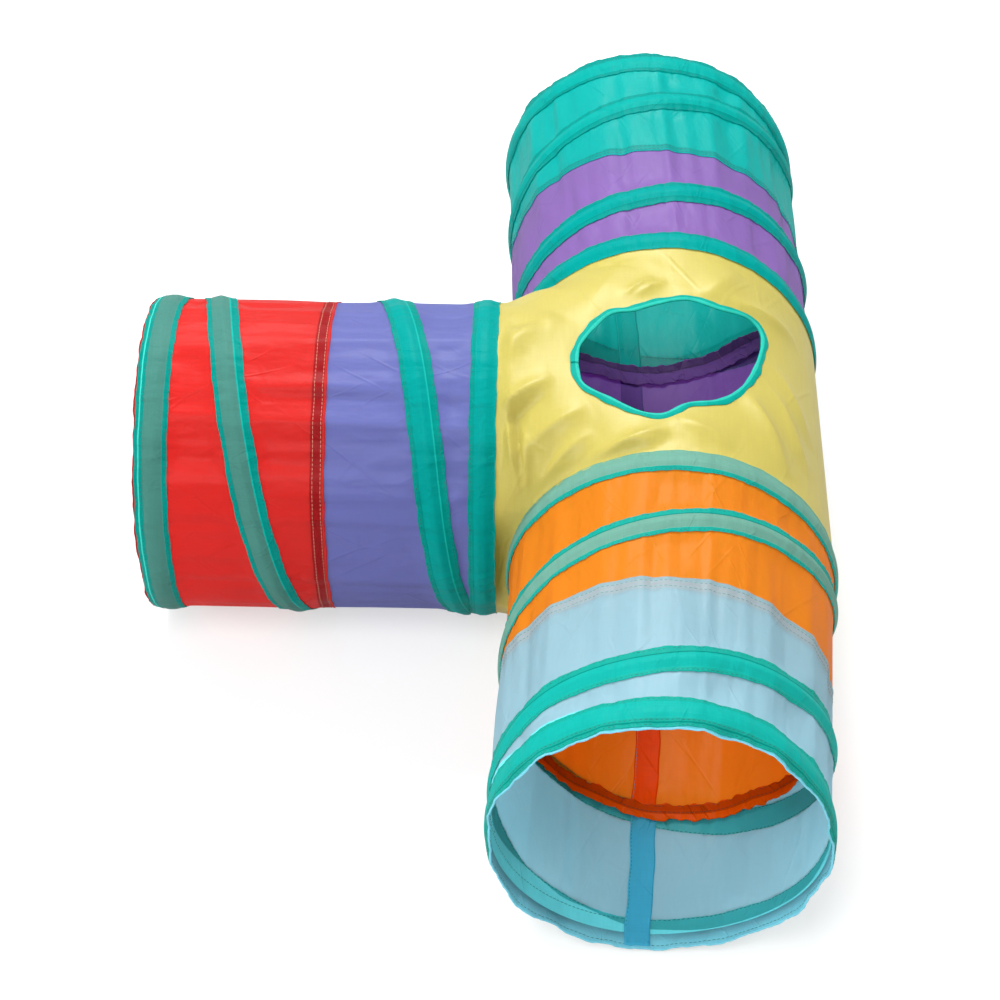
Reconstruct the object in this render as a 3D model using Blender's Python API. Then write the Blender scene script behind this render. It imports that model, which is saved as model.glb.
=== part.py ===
"""A three-way cat tunnel: three sprung cloth arms on one cloth junction.

The through arms (front and back) lie along Y, the third arm (left) points to -X.
Each arm is two panels of thin cloth held open by one spring wire: a flat loop at the
junction, a long right-handed spiral, and a flat loop at the mouth. Tape casings are
sewn over the wire. All round pieces share the same corner angles, so that the flats
of one piece lie parallel to the flats of the next and every clearance stays even.
"""
import math

import bmesh
import bpy
from mathutils import Vector

mm = 0.001

# The hoops and the spring wire.
hoop_radius = 125 * mm
hoop_sides = 24
wire_diameter = 1.8 * mm
wire_sides = 6
loop_pitch = 3 * mm
spiral_steps = 48
spiral_start_corner = 18
ramp_weights = (1 / 3, 2 / 3)

# The crimp that closes each end loop of the wire.
crimp_wall = 0.4 * mm
crimp_share = 0.7

# Cloth and tape, as thick as their solids stand, and the gap left between pieces.
cloth = 0.8 * mm
tape = 0.8 * mm
clearance = 0.3 * mm

# Lengths of the three arms, from the loop at the junction to the loop at the mouth.
left_arm_length = 250 * mm
front_arm_length = 240 * mm
back_arm_length = 246 * mm

# How far the front and back junction hoops stand from the crossing of the tunnel's axes,
# and the length of branch that shows between their outside and the left junction hoop.
through_hoop_distance = 125 * mm
branch_flare = 6.7 * mm

# Tape casings.
mouth_casing_width = 25 * mm
junction_casing_width = 20 * mm
spiral_casing_width = 25 * mm
channel_slope = 0.8 * mm
least_edge = 0.2 * mm

# Seams and hems inside the arms.
seam_band_width = 12 * mm
hem_depth = 12 * mm
hem_stand = 2 * mm
side_seam_width = 22 * mm
side_seam_end_gap = 0.5 * mm

# Where the seam along each arm lies, as an angle round the arm.
left_side_seam_angle = math.radians(270)
front_side_seam_angle = math.radians(279)
back_side_seam_angle = math.radians(257)

# The rounded opening in the top of the junction, seen from above.
peephole_centre = Vector((-3.7 * mm, -8.2 * mm))
peephole_radius = 66.5 * mm
peephole_oval = 6 * mm
peephole_oval_angle = math.radians(28.5)
peephole_lobe = 4.7 * mm
peephole_lobe_angle = math.radians(35)
peephole_corners = 48
peephole_cut_height = 40 * mm
binding_width = 7 * mm

# Sizes that follow from the ones above.
wire_radius = wire_diameter / 2
crimp_inner_height = wire_radius + clearance
crimp_outer_height = crimp_inner_height + crimp_wall
crimp_inner_width = loop_pitch / 2 + wire_radius + clearance
crimp_outer_width = crimp_inner_width + crimp_wall
panel_radius = hoop_radius - crimp_outer_height - clearance
panel_inner_radius = panel_radius - cloth
casing_inner_radius = panel_radius + clearance
ring_channel_radius = hoop_radius + crimp_outer_height + clearance
ring_channel_width = crimp_outer_width + clearance
spiral_channel_radius = hoop_radius + wire_radius + clearance
spiral_channel_width = wire_radius + clearance
lining_radius = panel_inner_radius - clearance
lining_inner_radius = lining_radius - tape
outer_radius = ring_channel_radius + tape
branch_neck_end = outer_radius + clearance
left_hoop_distance = branch_neck_end + branch_flare + clearance + junction_casing_width / 2
mouth_overhang = mouth_casing_width / 2 + hem_stand + clearance + tape

# The origin is on the floor, under the middle of the whole tunnel.
axis_height = outer_radius
low_x = -(left_hoop_distance + left_arm_length + mouth_overhang)
low_y = -(through_hoop_distance + front_arm_length + mouth_overhang)
high_y = through_hoop_distance + back_arm_length + mouth_overhang
crossing = Vector((-(low_x + outer_radius) / 2, -(low_y + high_y) / 2, axis_height))

colours = {
    "teal tape": (0.03, 0.44, 0.38),
    "red cloth": (0.72, 0.05, 0.05),
    "periwinkle cloth": (0.19, 0.19, 0.52),
    "light blue cloth": (0.38, 0.62, 0.77),
    "orange cloth": (0.89, 0.28, 0.04),
    "turquoise cloth": (0.04, 0.50, 0.45),
    "purple cloth": (0.28, 0.15, 0.48),
    "yellow cloth": (0.75, 0.64, 0.15),
    "spring steel": (0.45, 0.45, 0.46),
    "crimp steel": (0.55, 0.55, 0.56),
}
metals = ("spring steel", "crimp steel")
metal_roughness = 0.35
cloth_roughness = 0.6
crease_angle = math.radians(20)
marker_size = 30 * mm


def clear_scene():
    """Remove whatever the file opened with."""
    for item in list(bpy.data.objects):
        bpy.data.objects.remove(item, do_unlink=True)


def finish_of(name):
    """The material of one cloth, tape or wire, made once."""
    material = bpy.data.materials.get(name)
    if material is None:
        material = bpy.data.materials.new(name)
        material.use_nodes = True
        shader = material.node_tree.nodes["Principled BSDF"]
        shader.inputs["Base Color"].default_value = (*colours[name], 1)
        is_metal = name in metals
        shader.inputs["Roughness"].default_value = metal_roughness if is_metal else cloth_roughness
        shader.inputs["Metallic"].default_value = 1 if is_metal else 0
    return material


def add_object(name, shape, finish, parent=None):
    """Turn a bmesh into a named object with outward faces."""
    bmesh.ops.recalc_face_normals(shape, faces=shape.faces)
    mesh = bpy.data.meshes.new(name)
    shape.to_mesh(mesh)
    shape.free()
    mesh.shade_smooth()
    mesh.set_sharp_from_angle(angle=crease_angle)
    mesh.materials.append(finish_of(finish))
    item = bpy.data.objects.new(name, mesh)
    item.parent = parent
    bpy.context.collection.objects.link(item)
    return item


def loft(sections, closed=False):
    """Join point loops of equal length into one closed body."""
    shape = bmesh.new()
    rows = [[shape.verts.new(point) for point in section] for section in sections]
    pairs = list(zip(rows, rows[1:]))
    if closed:
        pairs.append((rows[-1], rows[0]))
    for row, following in pairs:
        for index, corner in enumerate(row):
            after = (index + 1) % len(row)
            shape.faces.new((corner, row[after], following[after], following[index]))
    if not closed:
        shape.faces.new(rows[0])
        shape.faces.new(rows[-1])
    return shape


def corner_angle(corner):
    """The angle of a numbered corner; a flat is centred at the bottom and at the top."""
    return (corner + 0.5) * math.tau / hoop_sides


def round_point(corner, distance, radius):
    """A point on a round piece; the radius is to the middle of a flat.

    The corner may be a fraction, which lies along the flat after that corner. Angles run
    from the arm's -Y side over the top, and the distance is measured out along +X.
    """
    whole = math.floor(corner)
    reach = radius / math.cos(math.pi / hoop_sides)
    ends = []
    for number in (whole, whole + 1):
        angle = corner_angle(number)
        ends.append(Vector((distance, -reach * math.cos(angle), reach * math.sin(angle))))
    return ends[0].lerp(ends[1], corner - whole)


def ring(profile_at):
    """A closed ring whose section at each corner is a list of (distance, radius)."""
    sections = []
    for corner in range(hoop_sides):
        sections.append([round_point(corner, *pair) for pair in profile_at(corner)])
    return loft(sections, closed=True)


def plain_ring(start, end, inner, outer):
    """A plain hoop with a rectangular section."""
    section = ((start, inner), (end, inner), (end, outer), (start, outer))
    return ring(lambda corner: section)


def wire_steps(arm_length):
    """Distance along the arm at each step of the wire, keyed by the step's number.

    Step 0 is where the wire leaves the junction's loop, and each step is one corner on.
    The loops climb by one loop pitch a turn, so that the wire lies beside itself.
    """
    loop_rise = loop_pitch / hoop_sides
    ramp = list(ramp_weights)
    steady = spiral_steps - 2 - 2 * len(ramp)
    weights = ramp + [1] * steady + ramp[::-1]
    spiral_rise = (arm_length - loop_pitch - 2 * loop_rise) / sum(weights)
    rises = [loop_rise] * hoop_sides
    rises += [loop_rise] + [spiral_rise * weight for weight in weights] + [loop_rise]
    rises += [loop_rise] * hoop_sides
    distance = -loop_pitch / 2
    steps = {-hoop_sides: distance}
    for count, rise in enumerate(rises, start=1 - hoop_sides):
        distance += rise
        steps[count] = distance
    return steps


def step_corner(step):
    """The corner that a step of the wire lies on; the wire winds downward round the arm."""
    return spiral_start_corner - step


def wire_points(arm_length):
    """The middle line of the wire, as a list of points."""
    steps = wire_steps(arm_length)
    return [round_point(step_corner(step), distance, hoop_radius)
            for step, distance in steps.items()]


def least_wire_gap(points):
    """The smallest gap between two turns of the wire, measured from point to point."""
    half_turn = hoop_sides // 2
    gaps = []
    for index, point in enumerate(points):
        later = points[index + half_turn:]
        gaps += [(point - other).length - wire_diameter for other in later]
    return min(gaps)


def spring_wire(arm):
    """One unbroken wire: junction loop, spiral and mouth loop."""
    sections = []
    for step, distance in wire_steps(arm["length"]).items():
        section = []
        for side in range(wire_sides):
            angle = math.tau * side / wire_sides
            along = distance + wire_radius * math.cos(angle)
            section.append(round_point(step_corner(step), along,
                                       hoop_radius + wire_radius * math.sin(angle)))
        sections.append(section)
    return loft(sections)


def chamfered_outline(width, height, chamfer):
    """Eight points round a rectangle with its corners cut off, in half sizes."""
    quarter = ((width, height - chamfer), (width - chamfer, height))
    points = []
    for side, rise in ((1, 1), (-1, 1), (-1, -1), (1, -1)):
        pair = [(side * along, rise * up) for along, up in quarter]
        points += pair if side * rise > 0 else pair[::-1]
    return points


def crimp(first_step, middle):
    """A flat sleeve round the wire's end and the turn beside it, along one flat."""
    inset = (1 - crimp_share) / 2
    start, end = step_corner(first_step + inset), step_corner(first_step + 1 - inset)
    inside = chamfered_outline(crimp_inner_width, crimp_inner_height, crimp_wall)
    outside = chamfered_outline(crimp_outer_width, crimp_outer_height, crimp_wall)
    sections = []
    for inner, outer in zip(inside, outside):
        corners = ((start, inner), (start, outer), (end, outer), (end, inner))
        sections.append([round_point(corner, middle + along, hoop_radius + up)
                         for corner, (along, up) in corners])
    return loft(sections, closed=True)


def casing_face(span, middle, widths, heights, raised):
    """One face of a casing's section, from its low edge to its high edge.

    The span is where the tape starts and ends. The widths are half the channel's width at
    its top and at its foot, and the heights are the radii there. A raised margin stands as
    high as the channel, so that the wire can pass out under it.
    """
    low, high = span
    top_width, foot_width = widths
    top, foot = heights
    places = (low, middle - foot_width, middle - top_width,
              middle + top_width, middle + foot_width, high)
    points = []
    for index, place in enumerate(places):
        after_low = low + index * least_edge
        before_high = high - (len(places) - 1 - index) * least_edge
        place = min(max(place, after_low), before_high)
        outside = abs(place - middle) - top_width
        share = min(max(outside / (foot_width - top_width), 0), 1)
        if raised[0] and place < middle or raised[1] and place > middle:
            share = 0
        points.append((place, top + share * (foot - top)))
    return points


def casing_profile(span, middle, channel_width, channel_radius, raised=(False, False)):
    """Section of a tape casing: two flat margins and a channel over the wire."""
    foot_width = channel_width + channel_slope
    under = casing_face(span, middle, (channel_width, foot_width),
                        (channel_radius, casing_inner_radius), raised)
    over = casing_face(span, middle, (channel_width + tape, foot_width + tape),
                       (channel_radius + tape, casing_inner_radius + tape), raised)
    return under + over[::-1]


def leaves_under(steps, step, half_width, from_mouth):
    """Whether the wire passes under a ring casing's margin at this step or next to it."""
    reach = wire_radius + clearance
    length = steps[spiral_steps] + steps[0]
    distances = []
    for neighbour in (step - 1, step + 1):
        at = steps[spiral_steps - neighbour] if from_mouth else steps[neighbour]
        distances.append(length - at if from_mouth else at)
    return distances[1] > ring_channel_width - reach and distances[0] < half_width + reach


def ring_casing(arm, width, at_mouth):
    """A casing sewn over an end loop, with its inner margin lifted where the wire leaves."""
    steps = wire_steps(arm["length"])
    lifted = set()
    for step in range(hoop_sides):
        if leaves_under(steps, step, width / 2, at_mouth):
            wire_step = spiral_steps - step if at_mouth else step
            lifted.add(step_corner(wire_step) % hoop_sides)

    def profile_at(corner):
        raised = corner in lifted
        return casing_profile((-width / 2, width / 2), 0, ring_channel_width,
                              ring_channel_radius, (raised and at_mouth, raised and not at_mouth))

    return ring(profile_at)


def step_reaching(steps, distance):
    """The step, with its fraction, at which the spiral reaches a distance."""
    for step in range(spiral_steps):
        if steps[step] <= distance <= steps[step + 1]:
            return step + (distance - steps[step]) / (steps[step + 1] - steps[step])
    raise ValueError("the spiral doesn't reach that distance")


def spiral_casing(arm):
    """The tape over the spiral, trimmed where it meets the two ring casings."""
    steps = wire_steps(arm["length"])
    low_edge = junction_casing_width / 2 + clearance
    high_edge = arm["length"] - mouth_casing_width / 2 - clearance
    past_edge = spiral_channel_width + 2 * least_edge
    first = step_reaching(steps, low_edge + past_edge)
    last = step_reaching(steps, high_edge - past_edge)
    sections = []
    for step in (first, *range(math.floor(first) + 1, math.ceil(last)), last):
        whole = math.floor(step)
        distance = steps[whole] + (step - whole) * (steps[whole + 1] - steps[whole])
        span = (max(distance - spiral_casing_width / 2, low_edge),
                min(distance + spiral_casing_width / 2, high_edge))
        profile = casing_profile(span, distance, spiral_channel_width, spiral_channel_radius)
        sections.append([round_point(step_corner(step), *pair) for pair in profile])
    return loft(sections)


def mouth_hem(arm):
    """The panel's edge turned in at the mouth: a lining with a lip over the edge."""
    edge = mouth_casing_width / 2 + hem_stand
    lip = edge + clearance
    section = (
        (edge - hem_depth, lining_inner_radius),
        (lip + tape, lining_inner_radius),
        (lip + tape, panel_radius),
        (lip, panel_radius),
        (lip, lining_radius),
        (edge - hem_depth, lining_radius),
    )
    return ring(lambda corner: section)


def side_seam(arm, start, end):
    """The lapped seam along a panel, lying inside it."""
    half_angle = side_seam_width / 2 / lining_radius
    low, high = [(arm["side_seam_angle"] + side * half_angle) * hoop_sides / math.tau - 0.5
                 for side in (-1, 1)]
    corners = [low, *range(math.ceil(low), math.ceil(high)), high]
    profile = ((start, lining_inner_radius), (end, lining_inner_radius),
               (end, lining_radius), (start, lining_radius))
    return loft([[round_point(corner, *pair) for pair in profile] for corner in corners])


def add_empty(name, parent, distance):
    """A marker on the arm's axis that the pieces of one moving group hang from."""
    marker = bpy.data.objects.new(name, None)
    marker.empty_display_size = marker_size
    marker.parent = parent
    marker.location = (distance, 0, 0)
    bpy.context.collection.objects.link(marker)
    return marker


def build_arm(arm):
    """All the pieces of one sprung arm, round its own axis."""
    name = arm["name"]
    length = arm["length"]
    middle = length / 2
    base = add_empty(name + "_arm_base", None, 0)
    base.location = crossing + Vector(arm["hoop_place"])
    base.rotation_euler = (0, 0, arm["turn"])
    band_axis = add_empty(name + "_band_axis", base, middle)
    mouth_axis = add_empty(name + "_mouth_axis", base, length)
    panel_end = length + mouth_casing_width / 2 + hem_stand
    half_band = seam_band_width / 2
    lining_end = panel_end - hem_depth

    add_object(name + "_inner_panel",
               plain_ring(clearance, middle - clearance / 2, panel_inner_radius, panel_radius),
               arm["inner_cloth"], base)
    add_object(name + "_outer_panel",
               plain_ring(clearance / 2, panel_end - middle, panel_inner_radius, panel_radius),
               arm["outer_cloth"], band_axis)
    add_object(name + "_seam_band",
               plain_ring(-half_band, half_band, lining_inner_radius, lining_radius),
               arm["band_cloth"], band_axis)
    add_object(name + "_side_seam_inner",
               side_seam(arm, clearance, middle - half_band - side_seam_end_gap),
               arm["inner_cloth"], base)
    add_object(name + "_side_seam_outer",
               side_seam(arm, half_band + side_seam_end_gap,
                         lining_end - side_seam_end_gap - middle),
               arm["outer_cloth"], band_axis)
    add_object(name + "_spring_wire", spring_wire(arm), "spring steel", base)
    crimp_middle = loop_pitch / hoop_sides / 2
    add_object(name + "_junction_crimp", crimp(0, crimp_middle), "crimp steel", base)
    add_object(name + "_mouth_crimp", crimp(spiral_steps - 1, -crimp_middle),
               "crimp steel", mouth_axis)
    add_object(name + "_junction_casing", ring_casing(arm, junction_casing_width, False),
               "teal tape", base)
    add_object(name + "_spiral_casing", spiral_casing(arm), "teal tape", base)
    add_object(name + "_mouth_casing", ring_casing(arm, mouth_casing_width, True),
               "teal tape", mouth_axis)
    add_object(name + "_mouth_hem", mouth_hem(arm), arm["outer_cloth"], mouth_axis)
    gap = least_wire_gap(wire_points(length))
    print(name, "spring wire, least gap to itself in mm:", round(gap / mm, 2))


def tube_through_crossing(stations, radius, turn):
    """A solid tube on an axis through the crossing, turned about the vertical.

    Each station gives a distance along the tube and the share of its full width there.
    """
    outward = Vector((math.cos(turn), math.sin(turn), 0))
    across = Vector((-math.sin(turn), math.cos(turn), 0))
    sections = []
    for distance, width_share in stations:
        section = []
        for corner in range(hoop_sides):
            point = round_point(corner, distance, radius)
            section.append(outward * point.x + across * (point.y * width_share)
                           + Vector((0, 0, point.z)))
        sections.append(section)
    return loft(sections)


def combine(target, tool, operation):
    """Apply a Boolean to the target and remove the tool."""
    cut = target.modifiers.new(operation.lower(), "BOOLEAN")
    cut.operation = operation
    cut.object = tool
    evaluated = target.evaluated_get(bpy.context.evaluated_depsgraph_get())
    mesh = bpy.data.meshes.new_from_object(evaluated)
    target.modifiers.clear()
    target.data = mesh
    bpy.data.objects.remove(tool, do_unlink=True)


def tee(name, radius, overrun, finish):
    """A solid tee: the through tube and the left branch, longer by the overrun.

    The branch is drawn in at its sides, where it passes between the two through hoops.
    """
    reach = through_hoop_distance + overrun
    through_shape = tube_through_crossing(((-reach, 1), (reach, 1)), radius, math.pi / 2)
    through = add_object(name, through_shape, finish)
    neck_half_width = through_hoop_distance - junction_casing_width / 2 - clearance
    neck = neck_half_width / panel_radius
    branch_stations = (
        (0, neck),
        (branch_neck_end, neck),
        (branch_neck_end + branch_flare, 1),
        (left_hoop_distance + overrun, 1),
    )
    branch_shape = tube_through_crossing(branch_stations, radius, math.pi)
    branch = add_object(name + "_branch", branch_shape, finish)
    combine(through, branch, "UNION")
    return through


def peephole_outline(extra):
    """Points round the opening, seen from above, spread outward by the extra width."""
    points = []
    for number in range(peephole_corners):
        angle = math.tau * number / peephole_corners
        radius = peephole_radius + extra
        radius += peephole_oval * math.cos(2 * (angle - peephole_oval_angle))
        radius += peephole_lobe * math.cos(3 * (angle - peephole_lobe_angle))
        points.append(peephole_centre + radius * Vector((math.cos(angle), math.sin(angle))))
    return points


def peephole_prism(name, extra, finish):
    """A solid upright prism over the opening."""
    top = outer_radius + peephole_cut_height
    sections = [[(*point, height) for point in peephole_outline(extra)]
                for height in (peephole_cut_height, top)]
    return add_object(name, loft(sections), finish)


def build_junction():
    """The yellow cloth tee with its opening."""
    body = tee("junction_body", panel_radius, 0, "yellow cloth")
    combine(body, tee("junction_hollow", panel_inner_radius, clearance, "yellow cloth"),
            "DIFFERENCE")
    combine(body, peephole_prism("opening_cutter", 0, "yellow cloth"), "DIFFERENCE")
    body.location = crossing


def build_binding():
    """Tape folded round the edge of the opening, over the cloth and under it."""
    fold = clearance + tape
    binding = tee("peephole_binding", panel_radius + fold, 0, "teal tape")
    combine(binding, tee("binding_hollow", panel_inner_radius - fold, fold, "teal tape"),
            "DIFFERENCE")
    combine(binding, peephole_prism("binding_outside", binding_width, "teal tape"), "INTERSECT")
    combine(binding, peephole_prism("binding_inside", -fold, "teal tape"), "DIFFERENCE")
    slot = tee("cloth_slot", panel_radius + clearance, fold, "teal tape")
    combine(slot, tee("slot_hollow", panel_inner_radius - clearance, 2 * fold, "teal tape"),
            "DIFFERENCE")
    combine(slot, peephole_prism("slot_inside", -clearance, "teal tape"), "DIFFERENCE")
    combine(binding, slot, "DIFFERENCE")
    binding.location = crossing


arms = (
    {"name": "left", "length": left_arm_length, "turn": math.pi,
     "hoop_place": (-left_hoop_distance, 0, 0), "side_seam_angle": left_side_seam_angle,
     "inner_cloth": "periwinkle cloth", "outer_cloth": "red cloth", "band_cloth": "red cloth"},
    {"name": "front", "length": front_arm_length, "turn": -math.pi / 2,
     "hoop_place": (0, -through_hoop_distance, 0), "side_seam_angle": front_side_seam_angle,
     "inner_cloth": "orange cloth", "outer_cloth": "light blue cloth",
     "band_cloth": "light blue cloth"},
    {"name": "back", "length": back_arm_length, "turn": math.pi / 2,
     "hoop_place": (0, through_hoop_distance, 0), "side_seam_angle": back_side_seam_angle,
     "inner_cloth": "purple cloth", "outer_cloth": "turquoise cloth",
     "band_cloth": "purple cloth"},
)

clear_scene()
build_junction()
build_binding()
for each_arm in arms:
    build_arm(each_arm)
print("tunnel built,", len([item for item in bpy.data.objects if item.type == "MESH"]), "pieces")
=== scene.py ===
# %% [markdown]
# # A three-way cat tunnel
# The real object is a play tunnel of thin coloured cloth. Each of its three arms is held open
# by one spring wire: a loop at the junction, a long spiral and a loop at the mouth. The packed
# CAD model is the frame, and every piece made here rides on one of its bodies.

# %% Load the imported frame
import math

import bmesh
import bpy
import numpy as np
from mathutils import Matrix, Vector
from mathutils.bvhtree import BVHTree
from mathutils.kdtree import KDTree


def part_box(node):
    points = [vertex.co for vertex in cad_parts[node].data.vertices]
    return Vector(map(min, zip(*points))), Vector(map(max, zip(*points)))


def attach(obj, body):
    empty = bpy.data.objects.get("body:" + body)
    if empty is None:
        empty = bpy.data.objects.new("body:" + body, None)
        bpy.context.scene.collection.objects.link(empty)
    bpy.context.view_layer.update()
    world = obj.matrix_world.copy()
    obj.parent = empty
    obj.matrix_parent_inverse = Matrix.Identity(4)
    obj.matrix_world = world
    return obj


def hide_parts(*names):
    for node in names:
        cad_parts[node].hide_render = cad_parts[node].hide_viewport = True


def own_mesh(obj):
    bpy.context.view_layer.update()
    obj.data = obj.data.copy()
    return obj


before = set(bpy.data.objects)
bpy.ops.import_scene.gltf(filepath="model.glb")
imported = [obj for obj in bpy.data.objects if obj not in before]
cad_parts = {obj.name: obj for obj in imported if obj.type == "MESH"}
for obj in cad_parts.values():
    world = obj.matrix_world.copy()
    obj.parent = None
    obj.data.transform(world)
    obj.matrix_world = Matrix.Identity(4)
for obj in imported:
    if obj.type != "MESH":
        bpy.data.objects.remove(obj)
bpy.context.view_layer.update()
mm = 0.001

# %% [markdown]
# ## Camera, light and floor
# The camera place was worked out from the outlines of the hoops in the photograph. The studio
# light is a bright even surround with four soft lamps, the strongest behind and above, which
# gives the tops of the tunnels their pale sheen. Small lamps would draw hard shadows that such
# thin, glowing cloth never shows. The floor keeps the tunnel's shadow and is white far off.

# %% Camera
camera_place = Vector((46.2, -1385.0, 1501.4)) * mm
camera_turn = math.radians(-1.6)
camera_dip = math.radians(45.81)
camera_roll = math.radians(-0.36)
focal_length = 87.48


def camera_matrix():
    """The camera looks along its own -Z, with its own X to the right of the picture."""
    forward = Vector((math.sin(camera_turn) * math.cos(camera_dip),
                      math.cos(camera_turn) * math.cos(camera_dip), -math.sin(camera_dip)))
    level = Vector((math.cos(camera_turn), -math.sin(camera_turn), 0))
    above = level.cross(forward)
    right = math.cos(camera_roll) * level + math.sin(camera_roll) * above
    matrix = Matrix((right, right.cross(forward), -forward)).transposed().to_4x4()
    matrix.translation = camera_place
    return matrix


camera = bpy.data.objects.new("camera", bpy.data.cameras.new("camera"))
camera.data.lens = focal_length
camera.matrix_world = camera_matrix()
bpy.context.scene.collection.objects.link(camera)
bpy.context.scene.camera = camera
bpy.context.scene.view_settings.view_transform = "Standard"
print("camera at", [round(value, 3) for value in camera.location])

# %% Helpers for node trees


def add_node(tree, kind, settings=None, **inputs):
    """A node with its settings, whose inputs take a value or another node's output."""
    node = tree.nodes.new(kind)
    for name, value in (settings or {}).items():
        setattr(node, name, value)
    for name, value in inputs.items():
        set_input(tree, node, name.replace("_", " "), value)
    return node


def set_input(tree, node, name, value):
    """Link an output to the named or numbered input, or set its value."""
    socket = node.inputs[name]
    if isinstance(value, bpy.types.NodeSocket):
        tree.links.new(value, socket)
    else:
        socket.default_value = value


def numbered_node(tree, kind, settings, *values):
    """A node whose inputs are given in their order, for inputs that share one name."""
    node = add_node(tree, kind, settings)
    for number, value in enumerate(values):
        set_input(tree, node, number, value)
    return node


def calculate(tree, operation, *values, clamp=False):
    """The output of a Math node."""
    settings = {"operation": operation, "use_clamp": clamp}
    return numbered_node(tree, "ShaderNodeMath", settings, *values).outputs[0]


def calculate_vector(tree, operation, *values):
    """The outputs of a Vector Math node."""
    return numbered_node(tree, "ShaderNodeVectorMath", {"operation": operation}, *values).outputs


def rescaled(tree, value, start, end, to_start=0.0, to_end=1.0, shape="LINEAR"):
    """A value carried from one range to another and held within it."""
    return add_node(tree, "ShaderNodeMapRange", {"interpolation_type": shape}, Value=value,
                    From_Min=start, From_Max=end, To_Min=to_start, To_Max=to_end).outputs[0]


def mixed(tree, share, first, second):
    """Two shaders mixed by a share."""
    return numbered_node(tree, "ShaderNodeMixShader", None, share, first.outputs[0],
                         second.outputs[0]).outputs[0]


def seen_directly(tree):
    """1 for what the camera sees straight, in a reflection or through something clear."""
    rays = add_node(tree, "ShaderNodeLightPath").outputs
    seen = calculate(tree, "MAXIMUM", rays["Is Camera Ray"], rays["Is Glossy Ray"])
    return calculate(tree, "MAXIMUM", seen, rays["Is Transmission Ray"])


def start_material(name):
    """A material and its empty tree."""
    material = bpy.data.materials.new(name)
    material.use_nodes = True
    material.node_tree.nodes.clear()
    return material, material.node_tree


# %% World, lamps and floor
surround_strength = 0.58
surround_grey = (0.98, 0.99, 1.0, 1)
plain_white = (1, 1, 1, 1)
lamp_aim = Vector((0.0, -0.05, 0.1))
lamps = (
    ("lamp_behind", (-0.1, 1.5, 2.0), 1.0, 82),
    ("lamp_in_front", (-0.5, -1.5, 2.4), 1.0, 52),
    ("lamp_at_left", (-2.2, -0.7, 1.1), 1.2, 30),
    ("lamp_at_right", (2.2, -0.5, 1.3), 1.2, 14),
)
floor_white = (0.84, 0.84, 0.84, 1)
floor_half_size = 8
floor_squares = 8
white_share = 0.6
fading_ring = (1.3, 2.6)


def light_world():
    """An even surround that the camera sees as plain white."""
    world = bpy.data.worlds.new("studio")
    world.use_nodes = True
    bpy.context.scene.world = world
    tree = world.node_tree
    tree.nodes.clear()
    soft = add_node(tree, "ShaderNodeBackground", Color=surround_grey,
                    Strength=surround_strength)
    white = add_node(tree, "ShaderNodeBackground", Color=plain_white, Strength=1.0)
    surface = mixed(tree, seen_directly(tree), soft, white)
    add_node(tree, "ShaderNodeOutputWorld", Surface=surface)


def add_lamp(name, place, size, power):
    """A square soft lamp that points at the tunnel."""
    lamp = bpy.data.objects.new(name, bpy.data.lights.new(name, "AREA"))
    lamp.data.energy = power
    lamp.data.size = size
    lamp.location = place
    lamp.rotation_mode = "QUATERNION"
    lamp.rotation_quaternion = (lamp_aim - lamp.location).to_track_quat("-Z", "Y")
    bpy.context.scene.collection.objects.link(lamp)


def paper_finish():
    """Paper whose white, as the camera sees it, grows with the distance from the tunnel."""
    material, tree = start_material("floor paper")
    paper = add_node(tree, "ShaderNodeBsdfDiffuse", Color=floor_white)
    white = add_node(tree, "ShaderNodeEmission", Color=plain_white, Strength=1.0)
    place = add_node(tree, "ShaderNodeNewGeometry").outputs["Position"]
    distance = calculate_vector(tree, "LENGTH", place)["Value"]
    share = rescaled(tree, distance, *fading_ring, white_share, 1.0)
    share = calculate(tree, "MULTIPLY", seen_directly(tree), share)
    add_node(tree, "ShaderNodeOutputMaterial", Surface=mixed(tree, share, paper, white))
    return material


def lay_floor():
    """The floor, which is part of the studio and not of the tunnel."""
    shape = bmesh.new()
    bmesh.ops.create_grid(shape, x_segments=floor_squares, y_segments=floor_squares,
                          size=floor_half_size)
    mesh = bpy.data.meshes.new("floor")
    shape.to_mesh(mesh)
    shape.free()
    mesh.materials.append(paper_finish())
    floor = bpy.data.objects.new("floor", mesh)
    bpy.context.scene.collection.objects.link(floor)


light_world()
for lamp_values in lamps:
    add_lamp(*lamp_values)
lay_floor()
print("lamps:", [name for name, *_ in lamps])

# %% [markdown]
# ## Effects that several finishes share
# The cloth is a fine plain weave, thin enough to glow. Three effects recur: the weave with its
# uneven threads, the fine creases that folding leaves, and the hem along a tape's edges. Each
# is a node group, so one change reaches all the cloths. A picture texture would be simpler, but
# it would be soft from close up, and it would have to be drawn first.

# %% Node groups
weave_frequency = 14000.0
thread_run = 45.0
thread_change = 900.0
crease_directions = ((0.45, (1.6, 0.4, 1.0)), (-0.6, (1.3, 0.35, 1.0)))
crease_half_width = 0.05
crease_patches = (1.1, 0.5, 1.1)
patch_limits = (0.5, 0.62)
wide_dents = (0.8, 0.3, 0.8)
fine_dents = (3.0, 1.2, 3.0)
fine_dent_share = 0.18


def start_group(name, inputs, outputs):
    """An empty node group with named sockets, and its input node's outputs."""
    group = bpy.data.node_groups.new(name, "ShaderNodeTree")
    for socket in inputs:
        kind = "NodeSocketVector" if socket == "Place" else "NodeSocketFloat"
        group.interface.new_socket(socket, in_out="INPUT", socket_type=kind)
    for socket in outputs:
        group.interface.new_socket(socket, in_out="OUTPUT", socket_type="NodeSocketFloat")
    return group, group.nodes.new("NodeGroupInput").outputs


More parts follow.
